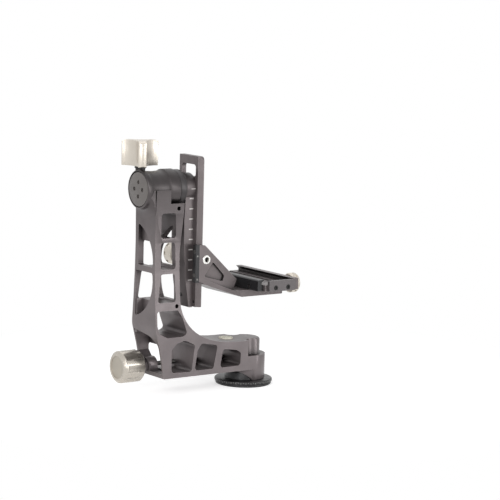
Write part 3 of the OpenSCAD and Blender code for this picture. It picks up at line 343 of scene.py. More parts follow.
@dataclass(frozen=True)
class MetalFinish:
    """A metal surface with its colour, gloss, grain, lathe rings, worn edges and painted light and
    shade.

    A shade is the share of its colour that the metal keeps under painted shade: hollow_shade in a
    hollow, top_shade at the height shade_to and above, on the way there from shade_from. edge_light
    is how much lighter a worn edge with its painted highlight is. Cells, reaches, pitches and depths
    are in metres.
    """

    name: str
    colour: Colour
    metallic: float
    roughness: float
    grain: float = 0.25 * MM
    grain_depth: float = 0.004 * MM
    variation: float = 0.08
    edge_light: float = 0.0
    edge_reach: float = 0.35 * MM
    hollow_shade: float = 1.0
    hollow_reach: float = 9.0 * MM
    top_shade: float = 1.0
    shade_from: float = 0.10
    shade_to: float = 0.215
    turning: Turning = Turning.NONE
    centre: Point = (0.0, 0.0, 0.0)
    ring_pitch: float = 0.35 * MM
    ring_depth: float = 0.003 * MM

    def lathe_rings(self, shader: Shader) -> Socket:
        """Rings that the lathe left about the axis of the piece.

        Args:
            shader: Material that gets the rings.

        Returns:
            The pattern of the rings.
        """
        place = shader.add("ShaderNodeMapping", vector_type="POINT")
        shader.feed(place, "Vector", shader.place)
        shader.feed(place, "Location", [-c for c in self.centre])
        wave = shader.add(
            "ShaderNodeTexWave", wave_type="RINGS", rings_direction=self.turning.value
        )
        shader.feed(wave, "Vector", place.outputs["Vector"])
        shader.feed(wave, "Scale", wave_scale(self.ring_pitch))
        shader.feed(wave, "Distortion", RING_WOBBLE)
        return wave.outputs["Fac"]

    def relief(self, shader: Shader, under: Socket) -> Socket:
        """Rings of the lathe on a turned piece, nothing more on any other.

        Args:
            shader: Material that gets the rings.
            under: Normal of the metal's own grain.

        Returns:
            The normal with the rings on it.
        """
        if self.turning is Turning.NONE:
            return under
        return shader.bump(self.lathe_rings(shader), self.ring_depth, under)

    def marks(self, shader: Shader) -> tuple[Socket, Colour] | None:
        """Painted marks on the surface, none on plain metal.

        Args:
            shader: Material that gets the marks.

        Returns:
            Where the paint is, from 0 to 1, and its colour.
        """
        return None

    def make(self) -> bpy.types.Material:
        """Build the material.

        Returns:
            The finished material.
        """
        shader = Shader(self.name)
        fine = shader.noise(self.grain, 2)
        colour = self.tone(shader, fine)
        painted = self.marks(shader)
        if painted is not None:
            colour = shader.mix(painted[0], colour, rgba(painted[1]))
            metal = shader.spread(painted[0], self.metallic, 0.0, 0.0, 1.0)
            shader.feed(shader.surface, "Metallic", metal)
        else:
            shader.feed(shader.surface, "Metallic", self.metallic)
        shader.feed(shader.surface, "Base Color", colour)
        smudge = shader.noise(SMUDGE_CELL, 3)
        smudge = shader.spread(smudge, self.roughness - GLOSSIER, self.roughness + DULLER)
        shader.feed(shader.surface, "Roughness", smudge)
        grained = shader.bump(fine, self.grain_depth)
        shader.feed(shader.surface, "Normal", self.relief(shader, grained))
        return shader.material

    def tone(self, shader: Shader, fine: Socket) -> Socket:
        """Colour of the metal, with its clouds, grain, worn edges with a painted highlight, and painted
        shade in hollows and towards the top.

        Args:
            shader: Material that gets the colour.
            fine: The metal's grain.

        Returns:
            The output with the colour.
        """
        darker = rgba(self.colour, 1 - self.variation)
        lighter = rgba(self.colour, 1 + self.variation)
        clouds = shader.spread(shader.noise(BROAD_CELL, 3), 0.0, 1.0)
        colour = shader.mix(clouds, darker, lighter)
        grain = shader.spread(fine, 0.0, GRAIN_SHARE)
        colour = shader.mix(grain, colour, rgba(self.colour, GRAIN_LIGHT))
        # Worn edges, partly real wear and partly a painted highlight
        if self.edge_light:
            edge = shader.spread(shader.edges(self.edge_reach), 0.0, 1.0, EDGE_START, EDGE_FULL)
            wear = shader.spread(shader.noise(WEAR_CELL, 3), WEAR_LEAST, 1.0)
            edge = shader.sum("MULTIPLY", edge, wear)
            colour = shader.mix(edge, colour, rgba(self.colour, 1 + self.edge_light))
        # Painted shade: corners and hollows are darkened
        if self.hollow_shade < 1.0:
            hollows = shader.hollows(self.hollow_reach)
            open_face = shader.spread(hollows, 0.0, 1.0, HOLLOW_DEEP, HOLLOW_OPEN)
            colour = shader.mix(open_face, rgba(self.colour, self.hollow_shade), colour)
        # Painted shade: the colour darkens upwards towards the hub
        if self.top_shade < 1.0:
            rise = shader.spread(shader.axes()[2], 0.0, 1.0, self.shade_from, self.shade_to)
            rise = shader.sum("POWER", rise, SHADE_POWER)
            dark = rgba((1.0, 1.0, 1.0), self.top_shade)
            colour = shader.mix(rise, colour, dark, "MULTIPLY")
        return colour


@dataclass(frozen=True)
class RuledFinish(MetalFinish):
    """Anodised metal with a column of short white lines down its front face."""

    middle: float = 0.0
    width: float = 4.6 * MM
    thickness: float = 1.0 * MM
    pitch: float = 10.0 * MM
    lowest: float = 0.0
    highest: float = 0.0
    front: float = 0.0
    paint: Colour = (0.72, 0.70, 0.67)
    worn_least: float = 0.72
    worn_cell: float = 0.8 * MM

    def marks(self, shader: Shader) -> tuple[Socket, Colour]:
        """Lines one above the other, a centimetre apart.

        Args:
            shader: Material that gets the lines.

        Returns:
            Where the paint is, and its colour.
        """
        x, y, z = shader.axes()
        across = shader.band(x, self.middle, self.width)
        step = shader.sum("PINGPONG", shader.sum("SUBTRACT", z, self.lowest), self.pitch / 2)
        line = shader.sum("LESS_THAN", step, self.thickness / 2)
        tall = self.highest - self.lowest + self.thickness
        height = shader.band(z, (self.lowest + self.highest) / 2, tall)
        face = shader.sum("LESS_THAN", y, self.front)
        mask = shader.sum("MULTIPLY", across, line)
        mask = shader.sum("MULTIPLY", mask, shader.sum("MULTIPLY", height, face))
        worn = shader.spread(shader.noise(self.worn_cell, 2), self.worn_least, 1.0)
        return shader.sum("MULTIPLY", mask, worn), self.paint


@dataclass(frozen=True)
class DegreeFinish(MetalFinish):
    """Anodised metal with faint degree marks round a rim."""

    rim: float = 0.0
    low: float = 0.0
    high: float = 0.0
    step: float = math.radians(5.0)
    width: float = 0.35 * MM
    depth: float = 0.4 * MM
    strength: float = 0.6
    paint: Colour = (0.5, 0.49, 0.47)

    def marks(self, shader: Shader) -> tuple[Socket, Colour]:
        """Upright lines round the pan axis, every other one shorter.

        Args:
            shader: Material that gets the marks.

        Returns:
            Where the paint is, and its colour.
        """
        x, y, z = shader.axes()
        angle = shader.sum("ARCTAN2", y, x)
        near = shader.sum("PINGPONG", angle, self.step / 2)
        line = shader.sum("LESS_THAN", near, self.width / self.rim / 2)
        long_line = shader.sum("PINGPONG", angle, self.step)
        long_line = shader.sum("LESS_THAN", long_line, self.width / self.rim)
        half, middle = (self.high - self.low) / 2, (self.low + self.high) / 2
        reach = shader.sum("MULTIPLY_ADD", long_line, -half, middle)
        tall = shader.sum("GREATER_THAN", z, reach)
        short = shader.sum("LESS_THAN", z, self.high)
        radius = shader.sum("SQRT", shader.sum("MULTIPLY_ADD", x, x, shader.sum("MULTIPLY", y, y)))
        outside = shader.sum("GREATER_THAN", radius, self.rim - self.depth)
        mask = shader.sum("MULTIPLY", line, tall)
        mask = shader.sum("MULTIPLY", mask, shader.sum("MULTIPLY", short, outside))
        return shader.sum("MULTIPLY", mask, self.strength), self.paint


@dataclass(frozen=True)
class ThreadFinish(MetalFinish):
    """Steel with a fine thread along one axis."""

    along: Turning = Turning.X
    lead: float = 0.8 * MM
    depth: float = 0.25 * MM

    def relief(self, shader: Shader, under: Socket) -> Socket:
        """Crests of the thread.

        Args:
            shader: Material that gets the thread.
            under: Normal of the metal's own grain.

        Returns:
            The normal with the thread on it.
        """
        wave = shader.add("ShaderNodeTexWave", wave_type="BANDS", bands_direction=self.along.value)
        shader.feed(wave, "Vector", shader.place)
        shader.feed(wave, "Scale", wave_scale(self.lead))
        return shader.bump(wave.outputs["Fac"], self.depth, under)


# A point on the tilt axis, and the share of their colour that the two arms keep under the painted shade
# at the hub
HUB = (-0.12, 0.0, 0.2013)
HUB_SHADE = 0.24

FINISHES: dict[Slot, MetalFinish] = {
    Slot.DARK_ANODISED: MetalFinish(
        "dark_anodised", (0.128, 0.110, 0.111), 0.5, 0.38, edge_light=1.1, edge_reach=0.7 * MM,
        variation=0.12, hollow_shade=0.08,
    ),
    Slot.END_PLATE_GREY: MetalFinish(
        "end_plate_grey", (0.11, 0.1, 0.102), 0.45, 0.4, edge_light=1.0
    ),
    Slot.BLACK_ANODISED: MetalFinish(
        "black_anodised", (0.02, 0.0195, 0.021), 0.3, 0.38, edge_light=2.5, hollow_shade=0.5
    ),
    Slot.BLACK_SCREWS: MetalFinish(
        "black_screws", (0.015, 0.015, 0.015), 0.6, 0.34, edge_light=1.2
    ),
    Slot.BRIGHT_STEEL: MetalFinish(
        "bright_steel", (0.62, 0.61, 0.59), 1.0, 0.24, grain_depth=0.001 * MM
    ),
    Slot.BRONZE: MetalFinish("bronze", (0.55, 0.36, 0.16), 1.0, 0.3),
    Slot.CAP_GREY: MetalFinish(
        "cap_grey", (0.15, 0.138, 0.132), 0.5, 0.38, edge_light=0.9, turning=Turning.X, centre=HUB
    ),
    Slot.SILVER_KNOB: MetalFinish("silver_knob", (0.60, 0.555, 0.49), 0.85, 0.38, variation=0.05),
    Slot.KNOB_FACE: MetalFinish("knob_face", (0.42, 0.385, 0.33), 0.5, 0.5, variation=0.05),
    Slot.SEAL_RUBBER: MetalFinish("seal_rubber", (0.012, 0.012, 0.012), 0.0, 0.7),
    Slot.LEVEL_YELLOW: MetalFinish("level_yellow", (0.9, 0.87, 0.68), 0.0, 0.3, grain_depth=0.0),
}
BUBBLE = MetalFinish("bubble_glass", (0.93, 0.92, 0.78), 0.0, 0.12, grain_depth=0.0)
AIMING_RING = MetalFinish("aiming_ring", (0.35, 0.33, 0.22), 0.0, 0.4, grain_depth=0.0)
LEVEL_RIM = MetalFinish("level_rim", (0.80, 0.77, 0.66), 0.2, 0.5, grain_depth=0.0)
# The main arm's own copy of the dark anodised finish: its lighter colour is painted light, and it gets
# painted shade towards the hub
LIT_SHADED_ARM = replace(
    FINISHES[Slot.DARK_ANODISED], name="lit_shaded_arm", colour=(0.158, 0.137, 0.139),
    top_shade=HUB_SHADE,
)
# The tilt shaft's copy of the dark anodised finish, with lathe rings and a much darker colour that is
# painted shade
TURNED_SHADED_SHAFT = replace(
    FINISHES[Slot.DARK_ANODISED], name="turned_shaded_shaft", colour=(0.05, 0.046, 0.047),
    turning=Turning.X, centre=HUB,
)
TURNED_KNOB = replace(
    FINISHES[Slot.SILVER_KNOB], name="turned_knob", colour=(0.47, 0.435, 0.385), roughness=0.27
)
THREADED_STEEL = ThreadFinish("threaded_steel", (0.13, 0.125, 0.12), 1.0, 0.35)
DULLED_STEEL = MetalFinish("dulled_steel", (0.16, 0.155, 0.15), 0.9, 0.4, edge_light=0.6)

# Nodes whose finish isn't that of their slot
OWN_FINISHES: dict[str, MetalFinish] = {
    "main_arm": LIT_SHADED_ARM,
    "level_body": LEVEL_RIM,
    "pan_lock_screw": THREADED_STEEL,
    "pan_lock_knob": TURNED_KNOB,
    "tilt_shaft": TURNED_SHADED_SHAFT,
    "keeper_screws": DULLED_STEEL,
}
_made: dict[str, bpy.types.Material] = {}


def made(finish: MetalFinish) -> bpy.types.Material:
    """Material of a finish, made once.

    Args:
        finish: The finish.

    Returns:
        Its material.
    """
    if finish.name not in _made:
        _made[finish.name] = finish.make()
    return _made[finish.name]


# ---------------------------------------------------------------- pieces


# A CAD node's loose triangles are welded, and its flat faces made whole, before its edges are eased
WELD_GAP = 1e-6
FLAT_ANGLE = math.radians(0.5)
EASED_ANGLE = math.radians(38)
EASED_STEPS = 2
# New pieces: points that count as one, and the edges that stay sharp
MERGE_GAP = 1e-7
SHARP_ANGLE = math.radians(35)


def dress(node: str, finish: MetalFinish, ease: float = 0.0) -> None:
    """Give a CAD node its finish and ease its edges.

    Args:
        node: Name of the node.
        finish: Finish of the whole node.
        ease: Width of the eased edges in metres, 0 for none.
    """
    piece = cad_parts[node]
    piece.data.materials.clear()
    piece.data.materials.append(made(finish))
    if ease:
        weld = piece.modifiers.new("weld", "WELD")
        weld.merge_threshold = WELD_GAP
        flat = piece.modifiers.new("flat", "DECIMATE")
        flat.decimate_type = "DISSOLVE"
        flat.angle_limit = FLAT_ANGLE
        edge = piece.modifiers.new("edge", "BEVEL")
        edge.width = ease
        edge.segments = EASED_STEPS
        edge.limit_method = "ANGLE"
        edge.angle_limit = EASED_ANGLE
        edge.use_clamp_overlap = True
        edge.harden_normals = True
    LOG.info("dressed %s", node)


def new_piece(
    name: str, form: Form, body: str, finish: MetalFinish
) -> bpy.types.Object:
    """Turn a form into a piece that rides on a body.

    Args:
        name: Name of the piece.
        form: The form, which is freed.
        body: Body that carries the piece.
        finish: Finish of the piece.

    Returns:
        The new object.
    """
    bmesh.ops.remove_doubles(form, verts=form.verts, dist=MERGE_GAP)
    bmesh.ops.recalc_face_normals(form, faces=form.faces)
    mesh = bpy.data.meshes.new(name)
    form.to_mesh(mesh)
    form.free()
    mesh.shade_smooth()
    mesh.set_sharp_from_angle(angle=SHARP_ANGLE)
    mesh.materials.append(made(finish))
    piece = bpy.data.objects.new(name, mesh)
    bpy.context.scene.collection.objects.link(piece)
    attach(piece, body)
    LOG.info("made %s", name)
    return piece


def turned(
    profile: list[tuple[float, float]], centre: Vector, axis: Vector, steps: int = 96
) -> Form:
    """Turn a closed profile about an axis, as on a lathe.

    Args:
        profile: Points along the axis and away from it, in metres.
        centre: Point on the axis where the profile starts.
        axis: Direction of the axis.
        steps: Number of steps round the axis.

    Returns:
        The form.
    """
    form = bmesh.new()
    side = axis.orthogonal().normalized()
    ring = [form.verts.new(centre + axis * along + side * away) for along, away in profile]
    edges = [form.edges.new((a, b)) for a, b in zip(ring, ring[1:] + ring[:1])]
    bmesh.ops.spin(
        form, geom=ring + edges, cent=centre, axis=axis, dvec=Vector(), angle=2 * math.pi,
        steps=steps, use_merge=True,
    )
    return form


def bore(piece: bpy.types.Object, drills: Form) -> None:
    """Cut holes in a piece.

    Args:
        piece: The piece, whose mesh is changed.
        drills: Solids that are taken away, which are freed.
    """
    mesh = bpy.data.meshes.new("drills")
    drills.to_mesh(mesh)
    drills.free()
    cutter = bpy.data.objects.new("drills", mesh)
    bpy.context.scene.collection.objects.link(cutter)
    cut = piece.modifiers.new("bore", "BOOLEAN")
    cut.operation, cut.solver, cut.object = "DIFFERENCE", "EXACT", cutter
    after = piece.evaluated_get(bpy.context.evaluated_depsgraph_get())
    shaped = bpy.data.meshes.new_from_object(after)
    piece.modifiers.clear()
    piece.data = shaped
    shaped.set_sharp_from_angle(angle=SHARP_ANGLE)
    bpy.data.objects.remove(cutter)
    bpy.data.meshes.remove(mesh)


# Slot and width of the eased edges of each CAD node, 0 where they aren't eased
Looks = dict[str, tuple[Slot, float]]


@dataclass
class SubAssembly:
    """CAD nodes that share a body, each with its slot and the width of its eased edges."""

    body: str = "base"
    soft: float = 0.5 * MM
    fine: float = 0.2 * MM

    def nodes(self) -> Looks:
        """Slot and eased edge of every CAD node."""
        return {}

    def finish(self, node: str, slot: Slot) -> MetalFinish:
        """Finish of one node.

        Args:
            node: Name of the node.
            slot: Its material slot.

        Returns:
            The node's own finish, or else that of its slot.
        """
        return OWN_FINISHES.get(node, FINISHES[slot])

    def extras(self) -> None:
        """Pieces that the CAD part leaves out."""

    def build(self) -> None:
        """Dress the CAD nodes and make the rest."""
        for node, (slot, ease) in self.nodes().items():
            dress(node, self.finish(node, slot), ease)
        self.extras()


@dataclass
class PanBase(SubAssembly):
    """Round foot that stays still while the arm turns, with degree marks on its rim."""

    flange_top: float = 6.2 * MM
    mark_top: float = 1.0 * MM
    mark_length: float = 1.9 * MM
    edge_light: float = 2.0

    def nodes(self) -> Looks:
        """Slot and eased edge of every CAD node."""
        return {
            "base_flange": (Slot.BLACK_ANODISED, self.fine),
            "pan_spindle": (Slot.BRIGHT_STEEL, 0.0),
            "foot_screws": (Slot.BLACK_SCREWS, 0.0),
            "pan_spacer": (Slot.BRIGHT_STEEL, 0.0),
        }

    def finish(self, node: str, slot: Slot) -> MetalFinish:
        """Black metal with marks for the flange.

        Args:
            node: Name of the node.
            slot: Its material slot.

        Returns:
            The finish.
        """
        if node != "base_flange":
            return super().finish(node, slot)
        plain = FINISHES[slot]
        high = self.flange_top - self.mark_top
        return DegreeFinish(
            "marked_flange", plain.colour, plain.metallic, plain.roughness,
            edge_light=self.edge_light, rim=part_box(node)[1][0], high=high, low=high - self.mark_length,
        )


@dataclass
class Arm(SubAssembly):
    """Skeletonised L shaped arm with the pan clamp, the tilt hub and the round level.

    round_middle is the middle of the cap's rounded edge, along the axis and in from the rim.
    bubble_flat is the bubble's height over its width, ring_width the ring's width over its height.
    """

    body: str = "arm"
    cap_gap: float = 0.45 * MM
    cap_round: float = 0.9 * MM
    round_middle: tuple[float, float] = (0.25 * MM, 0.3 * MM)
    pin_holes: int = 4
    pin_hole_r: float = 2.0 * MM
    pin_circle: float = 6.9 * MM
    pin_depth: float = 1.7 * MM
    web_low: Point = (-119.4 * MM, 14.6 * MM, 59.0 * MM)
    web_high: Point = (-108.95 * MM, 17.6 * MM, 92.5 * MM)
    web_edge: float = 0.4 * MM
    bubble_r: float = 2.1 * MM
    bubble_flat: float = 0.08
    bubble_off: Point = (0.4 * MM, 0.2 * MM, 0.0)
    ring_r: float = 3.2 * MM
    ring_t: float = 0.12 * MM
    ring_width: float = 1.6
    steps: int = 32

    def nodes(self) -> Looks:
        """Slot and eased edge of every CAD node."""
        inner = (
            "pan_bearing", "pan_lock_nut", "tilt_bearing_outer", "tilt_bearing_inner",
            "tilt_lock_nut",
        )
        return {
            "main_arm": (Slot.DARK_ANODISED, self.soft),
            "pan_bush": (Slot.BRONZE, 0.0),
            "pan_retaining_ring": (Slot.BLACK_ANODISED, 0.0),
            "ledge_screws": (Slot.BLACK_SCREWS, 0.0),
            "level_body": (Slot.BRIGHT_STEEL, 0.0),
            "level_vial": (Slot.LEVEL_YELLOW, 0.0),
            "tilt_cap": (Slot.CAP_GREY, 0.0),
            "tilt_seal": (Slot.SEAL_RUBBER, 0.0),
        } | {node: (Slot.BRIGHT_STEEL, 0.0) for node in inner}

    def cap(self) -> None:
        """Hub cap with four holes for a pin spanner."""
        low, high = (Vector(corner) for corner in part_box("tilt_cap"))
        centre = Vector((low.x, (low.y + high.y) / 2, (low.z + high.z) / 2))
        thick, r = high.x - low.x, (high.y - low.y) / 2 - self.cap_gap
        out, sunk = self.round_middle
        profile = [
            (0.0, 0.0), (0.0, r - self.cap_round), (out, r - sunk), (self.cap_round, r), (thick, r),
            (thick, 0.0),
        ]
        form = turned(profile, centre, Vector((1.0, 0.0, 0.0)))
        blank = new_piece("hub_cap", form, self.body, FINISHES[Slot.CAP_GREY])
        drills = bmesh.new()
        for number in range(self.pin_holes):
            angle = number * 2 * math.pi / self.pin_holes
            place = centre + Vector((0.0, math.cos(angle), math.sin(angle))) * self.pin_circle
            turn = Matrix.Translation(place) @ Matrix.Rotation(math.pi / 2, 4, "Y")
            bmesh.ops.create_cone(
                drills, cap_ends=True, segments=self.steps, radius1=self.pin_hole_r,
                radius2=self.pin_hole_r, depth=2 * self.pin_depth, matrix=turn,
            )
        bore(blank, drills)
        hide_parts("tilt_cap")

    def web(self) -> None:
        """Thin wall that closes the back of the lower pocket in the column."""
        form = bmesh.new()
        low, high = Vector(self.web_low), Vector(self.web_high)
        bmesh.ops.create_cube(form, size=1.0)
        bmesh.ops.scale(form, vec=high - low, verts=form.verts)
        bmesh.ops.translate(form, vec=(low + high) / 2, verts=form.verts)
        bmesh.ops.bevel(
            form, geom=form.edges, offset=self.web_edge, segments=2, profile=0.5, affect="EDGES",
            material=-1,
        )
        new_piece("pocket_web", form, self.body, LIT_SHADED_ARM)

    def level(self) -> None:
        """Aiming ring and bubble on the level's glass."""
        low, high = (Vector(corner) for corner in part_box("level_vial"))
        top = Vector(((low.x + high.x) / 2, (low.y + high.y) / 2, high.z))
        half, near = self.ring_t / 2, self.ring_r
        far = near + self.ring_t * self.ring_width
        profile = [(-half, near), (half, near), (half, far), (-half, far)]
        ring = turned(profile, top, Vector((0.0, 0.0, 1.0)), 2 * self.steps)
        new_piece("level_ring", ring, self.body, AIMING_RING)
        bubble = bmesh.new()
        bmesh.ops.create_uvsphere(
            bubble, u_segments=self.steps, v_segments=self.steps // 2, radius=self.bubble_r
        )
        bmesh.ops.scale(bubble, vec=(1.0, 1.0, self.bubble_flat), verts=bubble.verts)
        bmesh.ops.translate(bubble, vec=top + Vector(self.bubble_off), verts=bubble.verts)
        new_piece("level_bubble", bubble, self.body, BUBBLE)

    def extras(self) -> None:
        """Hub cap, pocket wall, and what floats in the level."""
        self.cap()
        self.web()
        self.level()


@dataclass
class TiltLock(SubAssembly):
    """Three lobed star knob on top of the hub, with its screw and washer."""

    body: str = "tilt_lock"
    knob_edge: float = 1.7 * MM

    def nodes(self) -> Looks:
        """Slot and eased edge of every CAD node."""
        return {
            "tilt_lock_washer": (Slot.BLACK_ANODISED, 0.0),
            "tilt_lock_screw": (Slot.BRIGHT_STEEL, 0.0),
            "tilt_lock_knob": (Slot.SILVER_KNOB, self.knob_edge),
        }


@dataclass
class PanLock(SubAssembly):
    """Fluted knob at the arm's foot, with its long screw and the disc let into its face."""

    body: str = "pan_lock"
    knob_edge: float = 0.4 * MM
    disc_pitch: float = 0.5 * MM

    def nodes(self) -> Looks:
        """Slot and eased edge of every CAD node."""
        return {
            "pan_lock_screw": (Slot.BRIGHT_STEEL, 0.0),
            "pan_lock_knob": (Slot.SILVER_KNOB, self.knob_edge),
            "pan_knob_insert": (Slot.KNOB_FACE, 0.0),
        }

    def finish(self, node: str, slot: Slot) -> MetalFinish:
        """Rings about the disc's own middle.

        Args:
            node: Name of the node.
            slot: Its material slot.

        Returns:
            The finish.
        """
        plain = super().finish(node, slot)
        if node != "pan_knob_insert":
            return plain
        low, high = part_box(node)
        centre = tuple((a + b) / 2 for a, b in zip(low, high))
        return replace(plain, turning=Turning.X, centre=centre, ring_pitch=self.disc_pitch)


@dataclass
class SwingArm(SubAssembly):
    """Swinging arm on the tilt shaft with the dovetail rail and its ruler."""

    body: str = "swing"
    first_line: float = 111.0 * MM
    last_line: float = 200.6 * MM
    line_x: float = -75.2 * MM
    line_front: float = -8.0 * MM
    # Where the painted shade towards the hub starts, and the colour kept under painted shade in a hollow
    shade_from: float = 0.188
    hollow_shade: float = 0.3

    def nodes(self) -> Looks:
        """Slot and eased edge of every CAD node."""
        return {
            "tilt_shaft": (Slot.DARK_ANODISED, self.fine),
            "tilt_shaft_nut": (Slot.BRIGHT_STEEL, 0.0),
            "wave_washer": (Slot.BRIGHT_STEEL, 0.0),
            "swing_arm": (Slot.DARK_ANODISED, self.soft),
            "hub_bolt": (Slot.BLACK_SCREWS, 0.0),
            "hub_dowels": (Slot.BRIGHT_STEEL, 0.0),
            "vertical_rail": (Slot.DARK_ANODISED, self.fine),
            "rail_screws": (Slot.BLACK_SCREWS, 0.0),
            "rail_stops": (Slot.BLACK_SCREWS, 0.0),
        }

    def finish(self, node: str, slot: Slot) -> MetalFinish:
        """Ruler on the swing arm, with painted shade that darkens it only at the hub.

        Args:
            node: Name of the node.
            slot: Its material slot.

        Returns:
            The finish.
        """
        plain = super().finish(node, slot)
        if node != "swing_arm":
            return plain
        return RuledFinish(
            "ruled_arm", plain.colour, plain.metallic, plain.roughness,
            edge_light=plain.edge_light, top_shade=HUB_SHADE, shade_from=self.shade_from,
            hollow_shade=self.hollow_shade, middle=self.line_x, lowest=self.first_line,
            highest=self.last_line, front=self.line_front,
        )


@dataclass
class Cradle(SubAssembly):
    """Gusseted bracket on the rail with the lens clamp's fixed half."""

    body: str = "cradle"

    def nodes(self) -> Looks:
        """Slot and eased edge of every CAD node."""
        return {
            "cradle_bracket": (Slot.DARK_ANODISED, self.soft),
            "rail_keeper": (Slot.BLACK_ANODISED, self.fine),
            "rail_clamp_bush": (Slot.BRIGHT_STEEL, 0.0),
            "keeper_screws": (Slot.BRIGHT_STEEL, 0.0),
            "rail_guide_pins": (Slot.BRIGHT_STEEL, 0.0),
            "lens_clamp_body": (Slot.DARK_ANODISED, self.soft),
            "platform_screws": (Slot.BLACK_SCREWS, 0.0),
            "lens_end_plate": (Slot.END_PLATE_GREY, self.fine),
            "end_plate_screws": (Slot.BLACK_SCREWS, 0.0),
            "plate_stop_pin": (Slot.BRIGHT_STEEL, 0.0),
            "lens_guide_pins": (Slot.BRIGHT_STEEL, 0.0),
        }


@dataclass
class RailJaw(SubAssembly):
    """Sliding jaw that grips the rail from behind."""

    body: str = "rail_jaw"

    def nodes(self) -> Looks:
        """Slot and eased edge of every CAD node."""
        return {"rail_clamp_jaw": (Slot.BLACK_ANODISED, self.fine)}


@dataclass
class RailKnob(SubAssembly):
    """Knob and screw that close the rail clamp."""

    body: str = "rail_knob"

    def nodes(self) -> Looks:
        """Slot and eased edge of every CAD node."""
        return {
            "rail_clamp_screw": (Slot.BRIGHT_STEEL, 0.0),
            "rail_clamp_knob": (Slot.SILVER_KNOB, self.fine),
        }


@dataclass
class LensJaw(SubAssembly):
    """Sliding jaw that closes the groove of the lens clamp."""

    body: str = "lens_jaw"

    def nodes(self) -> Looks:
        """Slot and eased edge of every CAD node."""
        return {"lens_clamp_jaw": (Slot.BLACK_ANODISED, self.fine)}


@dataclass
class LensKnob(SubAssembly):
    """Knob and screw that close the lens clamp."""

    body: str = "lens_knob"

    def nodes(self) -> Looks:
        """Slot and eased edge of every CAD node."""
        return {
            "lens_clamp_screw": (Slot.BRIGHT_STEEL, 0.0),
            "lens_clamp_knob": (Slot.SILVER_KNOB, self.fine),
        }


# ---------------------------------------------------------------- studio


# Rays that see the plain white of the floor and the sky
SEEN_RAYS = ("Is Camera Ray", "Is Glossy Ray", "Is Transmission Ray")


@dataclass(frozen=True)
class Lamp:
    """Soft square lamp: where it hangs, what it lights, its width in metres and its watts."""

    name: str
    place: Point
    target: Point
    width: float
    power: float

    def hang(self) -> None:
        """Hang the lamp in the scene."""
        data = bpy.data.lights.new(self.name, "AREA")
        data.size = self.width
        data.energy = self.power
        lamp = bpy.data.objects.new(self.name, data)
        place = Vector(self.place)
        lamp.location = place
        lamp.rotation_euler = (Vector(self.target) - place).to_track_quat("-Z", "Y").to_euler()
        bpy.context.scene.collection.objects.link(lamp)


MIDDLE = (-0.05, 0.0, 0.12)
LAMPS = (
    Lamp("key", (-1.5, -1.0, 0.75), MIDDLE, 1.1, 19.0),
    Lamp("fill", (0.6, -1.6, 0.15), (0.0, 0.0, 0.05), 1.1, 15.0),
    Lamp("top", (0.1, 0.5, 1.6), MIDDLE, 1.8, 6.5),
)


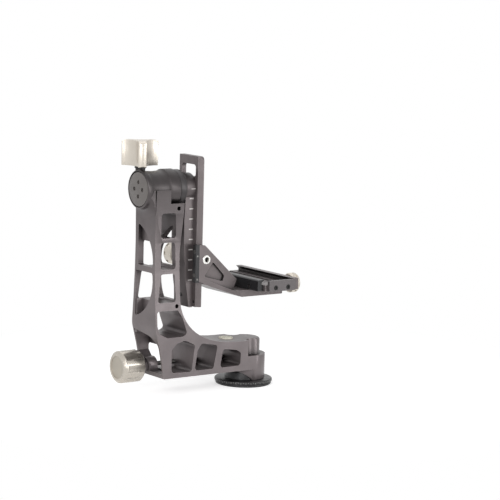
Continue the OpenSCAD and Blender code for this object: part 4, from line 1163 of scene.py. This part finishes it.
@dataclass
class Studio:
    """Floor, lamps, sky and camera at the photograph's angle.

    focal, size and origin_at, the origin's place in the picture, are in pixels, sensor is in
    millimetres, and every other length is in metres.
    """

    azimuth: float = math.radians(36.0)
    elevation: float = math.radians(8.0)
    roll: float = math.radians(-1.5)
    focal: float = 2150.0
    size: float = 500.0
    distance: float = 2.165
    origin_at: tuple[float, float] = (243.0, 382.3)
    sensor: float = 36.0
    nearest: float = 0.05
    furthest: float = 60.0
    floor_reach: float = 30.0
    floor_grey: float = 0.88
    floor_roughness: float = 0.9
    floor_specular: float = 0.1
    floor_glow: float = 0.6
    shadow_reach: float = 0.16
    shadow_fade: float = 2.2
    sky_light: float = 0.3

    def camera(self) -> None:
        """Place the camera where the photograph was taken."""
        a, e = self.azimuth, self.elevation
        back = Vector((-math.sin(a) * math.cos(e), -math.cos(a) * math.cos(e), math.sin(e)))
        ahead = -back
        level = Vector((math.cos(a), -math.sin(a), 0.0))
        upright = level.cross(ahead)
        right = level * math.cos(self.roll) - upright * math.sin(self.roll)
        up = level * math.sin(self.roll) + upright * math.cos(self.roll)
        across = (self.origin_at[0] - self.size / 2) / self.focal * self.distance
        rise = -(self.origin_at[1] - self.size / 2) / self.focal * self.distance
        place = -(right * across + up * rise + ahead * self.distance)
        data = bpy.data.cameras.new("camera")
        data.sensor_width = self.sensor
        data.lens = self.focal / self.size * self.sensor
        data.clip_start, data.clip_end = self.nearest, self.furthest
        camera = bpy.data.objects.new("camera", data)
        turn = Matrix((right, up, back)).transposed().to_4x4()
        camera.matrix_world = Matrix.Translation(place) @ turn
        bpy.context.scene.collection.objects.link(camera)
        bpy.context.scene.camera = camera

    def floor(self) -> None:
        """Lay a plain pale floor under the pan base."""
        mesh = bpy.data.meshes.new("floor")
        form = bmesh.new()
        bmesh.ops.create_grid(form, x_segments=1, y_segments=1, size=self.floor_reach)
        form.to_mesh(mesh)
        form.free()
        floor = bpy.data.objects.new("floor", mesh)
        floor.location = (0.0, 0.0, CAD_LOW.z)
        bpy.context.scene.collection.objects.link(floor)
        mesh.materials.append(self.floor_paint())

    def floor_paint(self) -> bpy.types.Material:
        """Matte white that keeps the shadow near the object and is plain white further off.

        Returns:
            The material.
        """
        shader = Shader("pale_floor")
        shader.feed(shader.surface, "Base Color", rgba((self.floor_grey,) * 3))
        shader.feed(shader.surface, "Roughness", self.floor_roughness)
        shader.feed(shader.surface, "Specular IOR Level", self.floor_specular)
        lit = shader.add("ShaderNodeEmission")
        path = shader.add("ShaderNodeLightPath")
        seen = path.outputs[SEEN_RAYS[0]]
        for ray in SEEN_RAYS[1:]:
            seen = shader.sum("MAXIMUM", seen, path.outputs[ray])
        away = shader.add("ShaderNodeVectorMath", operation="LENGTH")
        shader.feed(away, 0, shader.place)
        gone = self.shadow_reach * self.shadow_fade
        far = shader.spread(away.outputs["Value"], 0.0, 1.0, self.shadow_reach, gone)
        glow = shader.spread(far, self.floor_glow, 1.0, 0.0, 1.0)
        shader.feed(lit, "Strength", shader.sum("MULTIPLY", seen, glow))
        both = shader.add("ShaderNodeAddShader")
        matte = shader.add("ShaderNodeMixShader")
        black = shader.add("ShaderNodeEmission")
        shader.feed(black, "Strength", 0.0)
        shader.feed(matte, 0, shader.sum("MULTIPLY", far, seen))
        shader.feed(matte, 1, shader.surface.outputs[0])
        shader.feed(matte, 2, black.outputs[0])
        shader.feed(both, 0, matte.outputs[0])
        shader.feed(both, 1, lit.outputs[0])
        shader.feed(shader.tree.nodes["Material Output"], "Surface", both.outputs[0])
        return shader.material

    def sky(self) -> None:
        """Surround the scene with plain white that lights it only a little."""
        world = bpy.data.worlds.new("sky")
        bpy.context.scene.world = world
        world.use_nodes = True
        tree = world.node_tree
        path = tree.nodes.new("ShaderNodeLightPath")
        seen = path.outputs[SEEN_RAYS[0]]
        for ray in SEEN_RAYS[1:]:
            either = tree.nodes.new("ShaderNodeMath")
            either.operation = "MAXIMUM"
            tree.links.new(seen, either.inputs[0])
            tree.links.new(path.outputs[ray], either.inputs[1])
            seen = either.outputs[0]
        strength = tree.nodes.new("ShaderNodeMapRange")
        strength.inputs["To Min"].default_value = self.sky_light
        strength.inputs["To Max"].default_value = 1.0
        tree.links.new(seen, strength.inputs["Value"])
        back = tree.nodes["Background"]
        back.inputs["Color"].default_value = (1.0, 1.0, 1.0, 1.0)
        tree.links.new(strength.outputs["Result"], back.inputs["Strength"])

    def build(self) -> None:
        """Set up the whole studio."""
        self.floor()
        self.sky()
        for lamp in LAMPS:
            lamp.hang()
        self.camera()
        bpy.context.scene.view_settings.view_transform = "Standard"
        LOG.info("studio ready")


def main() -> None:
    """Build every sub-assembly and the studio."""
    logging.basicConfig(level=logging.INFO, format="%(name)s: %(message)s")
    kinds = (
        PanBase, Arm, TiltLock, PanLock, SwingArm, Cradle, RailJaw, RailKnob, LensJaw, LensKnob
    )
    for kind in kinds:
        part = kind()
        part.build()
        LOG.info("sub-assembly on body %s is done", part.body)
    Studio().build()


if __name__ == "__main__":
    main()
